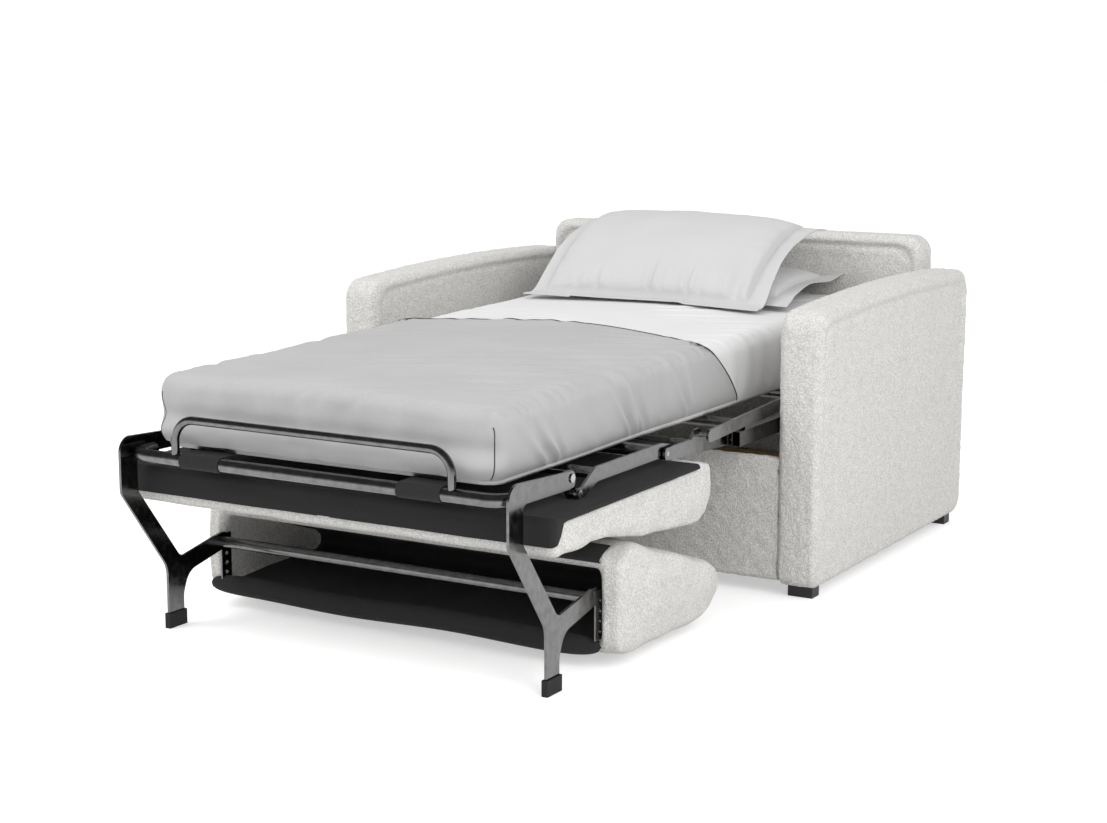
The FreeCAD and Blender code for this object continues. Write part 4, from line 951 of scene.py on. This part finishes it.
def cord_along(name, line, normal, radius):
    """A thin cord on a cloth: a round section carried along a line of points."""
    side = unit(np.cross(unit(np.gradient(line, axis=0)), normal))
    turn = np.linspace(0.0, 2.0 * math.pi, 8, endpoint=False)[None, :, None]
    rings = line[:, None] + radius * (np.cos(turn) * normal[:, None] + np.sin(turn) * side[:, None])
    return piece_from(name, *closed_rings(rings))


def sheeted_mattress():
    """The mattress in its white sheet, in five sections that part where the deck folds. Each is a closed
    form: the bed's skin over its top and sides, a flat underside and flat ends."""
    foot, insets = rounded_foot(BED_FOOT + 0.002, FOOT_TURN, 9)
    head, head_insets = rounded_foot(-BED_HEAD, FOOT_TURN, 9)
    head, head_insets = -head[::-1], head_insets[::-1]
    limits = [foot[-1]] + list(HINGES) + [head[0]]
    spans = [rows_between(limits[k], limits[k + 1], 0.009) for k in range(5)]
    y_rows = np.concatenate([foot] + [s[1:] for s in spans] + [head[1:]])
    all_insets = np.zeros(len(y_rows))
    all_insets[:len(insets)] = insets
    all_insets[-len(head_insets) + 1:] = head_insets[1:]
    skin = bed_skin(y_rows, all_insets, 0.0, DECK, 0.75, 0)
    ends = np.cumsum([len(foot) - 1 + len(spans[0]) - 1] + [len(s) - 1 for s in spans[1:]])
    ends[-1] = len(y_rows) - 1
    starts = np.concatenate([[0], ends[:-1]])
    across = np.linspace(0.0, 1.0, 14)[None, 1:-1, None]
    under = skin[:, -1:, :] + across * (skin[:, :1, :] - skin[:, -1:, :])
    loop = np.concatenate([skin, under], axis=1)
    whole = upward_normals(loop, len(y_rows) // 2, skin.shape[1] // 2, wrap=True)
    for section, begin, stop in zip(SECTIONS, starts, ends):
        rings = loop[begin:stop + 1]
        own = np.concatenate([whole[begin:stop + 1].reshape(-1, 3), [(0, -1, 0), (0, 1, 0)]])
        flat_map = np.concatenate([spread_map(rings).reshape(-1, 2), [(0, 0), (0, 0)]])
        piece = piece_from("mattress_%s_sheeted" % section, *closed_rings(rings), flat_map, own)
        wear(piece, "white_sheet", CARRIERS[section], "mattress_" + section,
             HEAD_KEEP if section == "head" else SQUASH_KEEP)


def seat_lining():
    """The black lining over the seat cushion's underside and down its foot face, with a soft wave."""
    foot, insets = rounded_foot(-0.9542, 0.014, 7)
    y_rows = np.concatenate([foot, rows_between(foot[-1], -0.330, 0.012)[1:]])
    all_insets = np.concatenate([insets, np.zeros(len(y_rows) - len(insets))])
    low = np.interp(y_rows, [-0.9542, -0.935, -0.915], [0.326, 0.332, 0.372])
    base = bed_sections(y_rows, 0.5500 - all_insets, low, 0.3826 - all_insets, 0.012, 0.0)
    skin = with_foot_face(base, 0.326, 16, lambda face, share:
                          0.0012 * (1.0 + np.sin(face[..., 0] * 23.0)) * np.sin(share * math.pi))
    ripple = 0.0004 * lumps(skin.reshape(-1, 3), 0.16, 31).reshape(skin.shape[:2])
    skin[..., 2] -= np.abs(ripple) * (skin[..., 1] > -0.93)
    piece = cloth_shell("seat_lining_cloth", skin, skin_normals(skin), spread_map(skin), LINING_THICK)
    wear(piece, "black_lining", "seat_frame", "seat_lining")


# Pillows

PILLOW_FLANGE = 0.045
BEND_SMOOTHING = 27
# Pleats from the front pillow's lower seam: place across (-1 to 1), width, depth and reach in metres.
PLEATS = ((-0.60, 0.012, 0.0035, 0.06), (-0.43, 0.010, 0.0050, 0.09), (0.04, 0.008, 0.0060, 0.13),
          (0.12, 0.010, 0.0040, 0.08), (0.36, 0.009, 0.0065, 0.13), (0.45, 0.012, 0.0040, 0.08),
          (0.76, 0.018, 0.0060, 0.18))


def pillow_form(wide, deep, thick, seed, pleats):
    """A filled pillow in its case, lying flat: s goes across and t from front to back, both -1 to 1.
    Inside the seam the two faces part by the product of two rounded humps; outside it they lie together
    as a flat flange. Pleats run up from the front seam, and the flange steps where it is folded."""
    s = np.sin(np.linspace(-0.5, 0.5, 190) * math.pi)[:, None] * np.ones((1, 120))
    t = np.sin(np.linspace(-0.5, 0.5, 120) * math.pi)[None, :] * np.ones((190, 1))
    seam_s = 1.0 - PILLOW_FLANGE / wide
    seam_t = 1.0 - PILLOW_FLANGE / deep
    inside_s = np.clip(1.0 - (s / seam_s) ** 2, 0.0, 1.0)
    inside_t = np.clip(1.0 - (t / seam_t) ** 2, 0.0, 1.0)
    full = (inside_s ** 0.30) * (inside_t ** 0.40)
    x = s * wide * (1.0 - 0.030 * (1.0 - t ** 2))
    y = t * deep * (1.0 - 0.040 * (1.0 - s ** 2))
    field = np.stack([x, y, 0.0 * x], axis=2).reshape(-1, 3)
    soft = lumps(field, 0.16, seed).reshape(s.shape)
    from_seam = np.minimum((seam_s - np.abs(s)) * wide, (seam_t - np.abs(t)) * deep)
    edge = np.clip(1.0 - from_seam / 0.07, 0.0, 1.0) * (full > 0)
    gather = (np.sin(95.0 * x + 2.0 * soft) * (np.abs(t) > 0.5)
              + np.sin(95.0 * y + soft) * (np.abs(s) > 0.55))
    upper = 0.5 * thick * full + 0.0012 + 0.0012 * edge * gather + 0.0022 * soft * full
    lower = -0.5 * thick * full - 0.0012
    up = (t + seam_t) * deep
    for place, width, depth, reach in pleats:
        off = (s - place) * wide / width
        fade = smooth_step(up, -0.004, 0.012) * np.clip(1.0 - up / reach, 0.0, 1.0)
        beside = np.exp(-(off - 1.6) ** 2) + np.exp(-(off + 1.6) ** 2)
        upper += 1.5 * depth * fade * (0.7 * beside - np.exp(-off ** 2))
    front = smooth_step(-t, seam_t, 1.0)
    sides = smooth_step(np.abs(s), seam_s, 1.0) * (1.0 - front)
    step = 0.0040 * smooth_step(s, -0.60, -0.585) - 0.0035 * smooth_step(s, 0.31, 0.325)
    step += 0.004 * bell(s, 0.34, 0.03)
    wave = (front * (step * bool(pleats) + 0.0012 * np.sin(15.0 * x))
            + sides * 0.005 * np.sin(19.0 * y + 2.0))
    ear = 0.010 * (not pleats) * smooth_step(s, 0.80, 1.0) * smooth_step(t, 0.5, 1.0)
    return x, y, upper + wave + ear, lower + wave + ear


def pillow_piece(name, line, place_x, wide, deep, thick, seed, turn, pleats):
    """A pillow laid along a line: t runs along the line in Y and Z, and the pillow's thickness stands
    square to it. The whole is turned a little about the vertical and moved to its place."""
    x, y, upper, lower = pillow_form(wide, deep, thick, seed, pleats)
    line = np.asarray(line, float)
    far = travelled(line)
    along = (y + deep) / (2.0 * deep) * far[-1]
    fine = np.linspace(0.0, far[-1], 200)
    curve = np.stack([np.interp(fine, far, line[:, k]) for k in range(2)], axis=1)
    kernel = np.hanning(BEND_SMOOTHING)
    kernel /= kernel.sum()
    margin = BEND_SMOOTHING // 2
    padded = np.pad(curve, ((margin, margin), (0, 0)), mode="reflect", reflect_type="odd")
    curve = np.stack([np.convolve(padded[:, k], kernel, mode="valid") for k in range(2)], axis=1)
    way = unit(np.gradient(curve, axis=0))
    at = [np.interp(along, fine, curve[:, k]) for k in range(2)]
    toward = [np.interp(along, fine, way[:, k]) for k in range(2)]
    layers = [np.stack([x, at[0] - lift * toward[1], at[1] + lift * toward[0]], axis=2)
              for lift in (upper, lower)]
    points = np.concatenate([layer.reshape(-1, 3) for layer in layers])
    pivot = np.array((0.0, line[:, 0].mean()))
    spin = np.array(((math.cos(turn), -math.sin(turn)), (math.sin(turn), math.cos(turn))))
    points[:, :2] = (points[:, :2] - pivot) @ spin.T + pivot
    points[:, 0] += place_x
    flat_map = np.concatenate([np.stack([x, y], axis=2).reshape(-1, 2)] * 2)
    piece = piece_from(name + "_filled", *turned_out(points, layered_faces(*x.shape)), flat_map)
    wear(piece, "white_pillowcase", "head_frame", name, HEAD_KEEP)


def pillows():
    """The rear pillow lies flat at the head; the front one leans on it, its front flange on the bed."""
    rear = [(0.515, 0.618), (0.575, 0.640), (0.700, 0.652), (0.840, 0.654), (0.925, 0.654)]
    front = [(0.452, 0.613), (0.500, 0.621), (0.550, 0.665), (0.620, 0.714), (0.700, 0.757),
             (0.780, 0.784), (0.840, 0.790), (0.885, 0.780)]
    pillow_piece("rear_pillow", rear, 0.010, 0.345, 0.205, 0.082, 41, 0.04, ())
    pillow_piece("front_pillow", front, -0.030, 0.345, 0.250, 0.110, 42, 0.0, PLEATS)


# Hard parts keep their CAD shapes and get their finishes

SIDED_STEEL = ("base_rail", "front_swing_arm", "rear_swing_arm", "upper_link", "knee_bar", "seat_bar",
               "coupler", "leg")
HARD_NODES = {
    "black_steel": tuple(side + part for part in SIDED_STEEL for side in ("left_", "right_"))
    + ("middle_frame", "head_hinge_rod", "knee_cross_tube", "seat_deck_tubes", "foot_tube",
       "mattress_stop", "leg_cross_tube", "cushion_brackets", "head_frame"),
    "rivet_steel": ("swing_pivot_pins", "link_rear_pins", "middle_pins", "knee_bar_pins",
                    "leg_pivot_pins", "seat_rivets"),
    "black_plastic": ("chair_glides",),
    "rubber": ("leg_caps",),
    "timber": ("left_arm_frame", "right_arm_frame", "back_frame", "rear_rail"),
    "black_webbing": tuple("webbing_" + section for section in SECTIONS),
}


def finish_hard_parts():
    """Each CAD node that stays gets its material in its own slots."""
    for finish, names in HARD_NODES.items():
        for name in names:
            holder = nodes[name]
            for slot in holder.material_slots:
                slot.material = FINISHES[finish]


bpy.context.scene.view_settings.view_transform = "Standard"
photo_camera()
studio_world()
studio_floor()
soft_lamp("key_lamp", (-2.6, -2.8, 3.6), LAMP_POWER, 2.4)
soft_lamp("fill_lamp", (3.6, -2.2, 2.6), LAMP_POWER, 2.6)
finish_hard_parts()
arm(-1.0)
arm(1.0)
chair_back()
front_panel()
seat_cushion()
seat_lining()
back_cushion()
hollow_bag()
hem_roll()
sheeted_mattress()
blanket()
pillows()
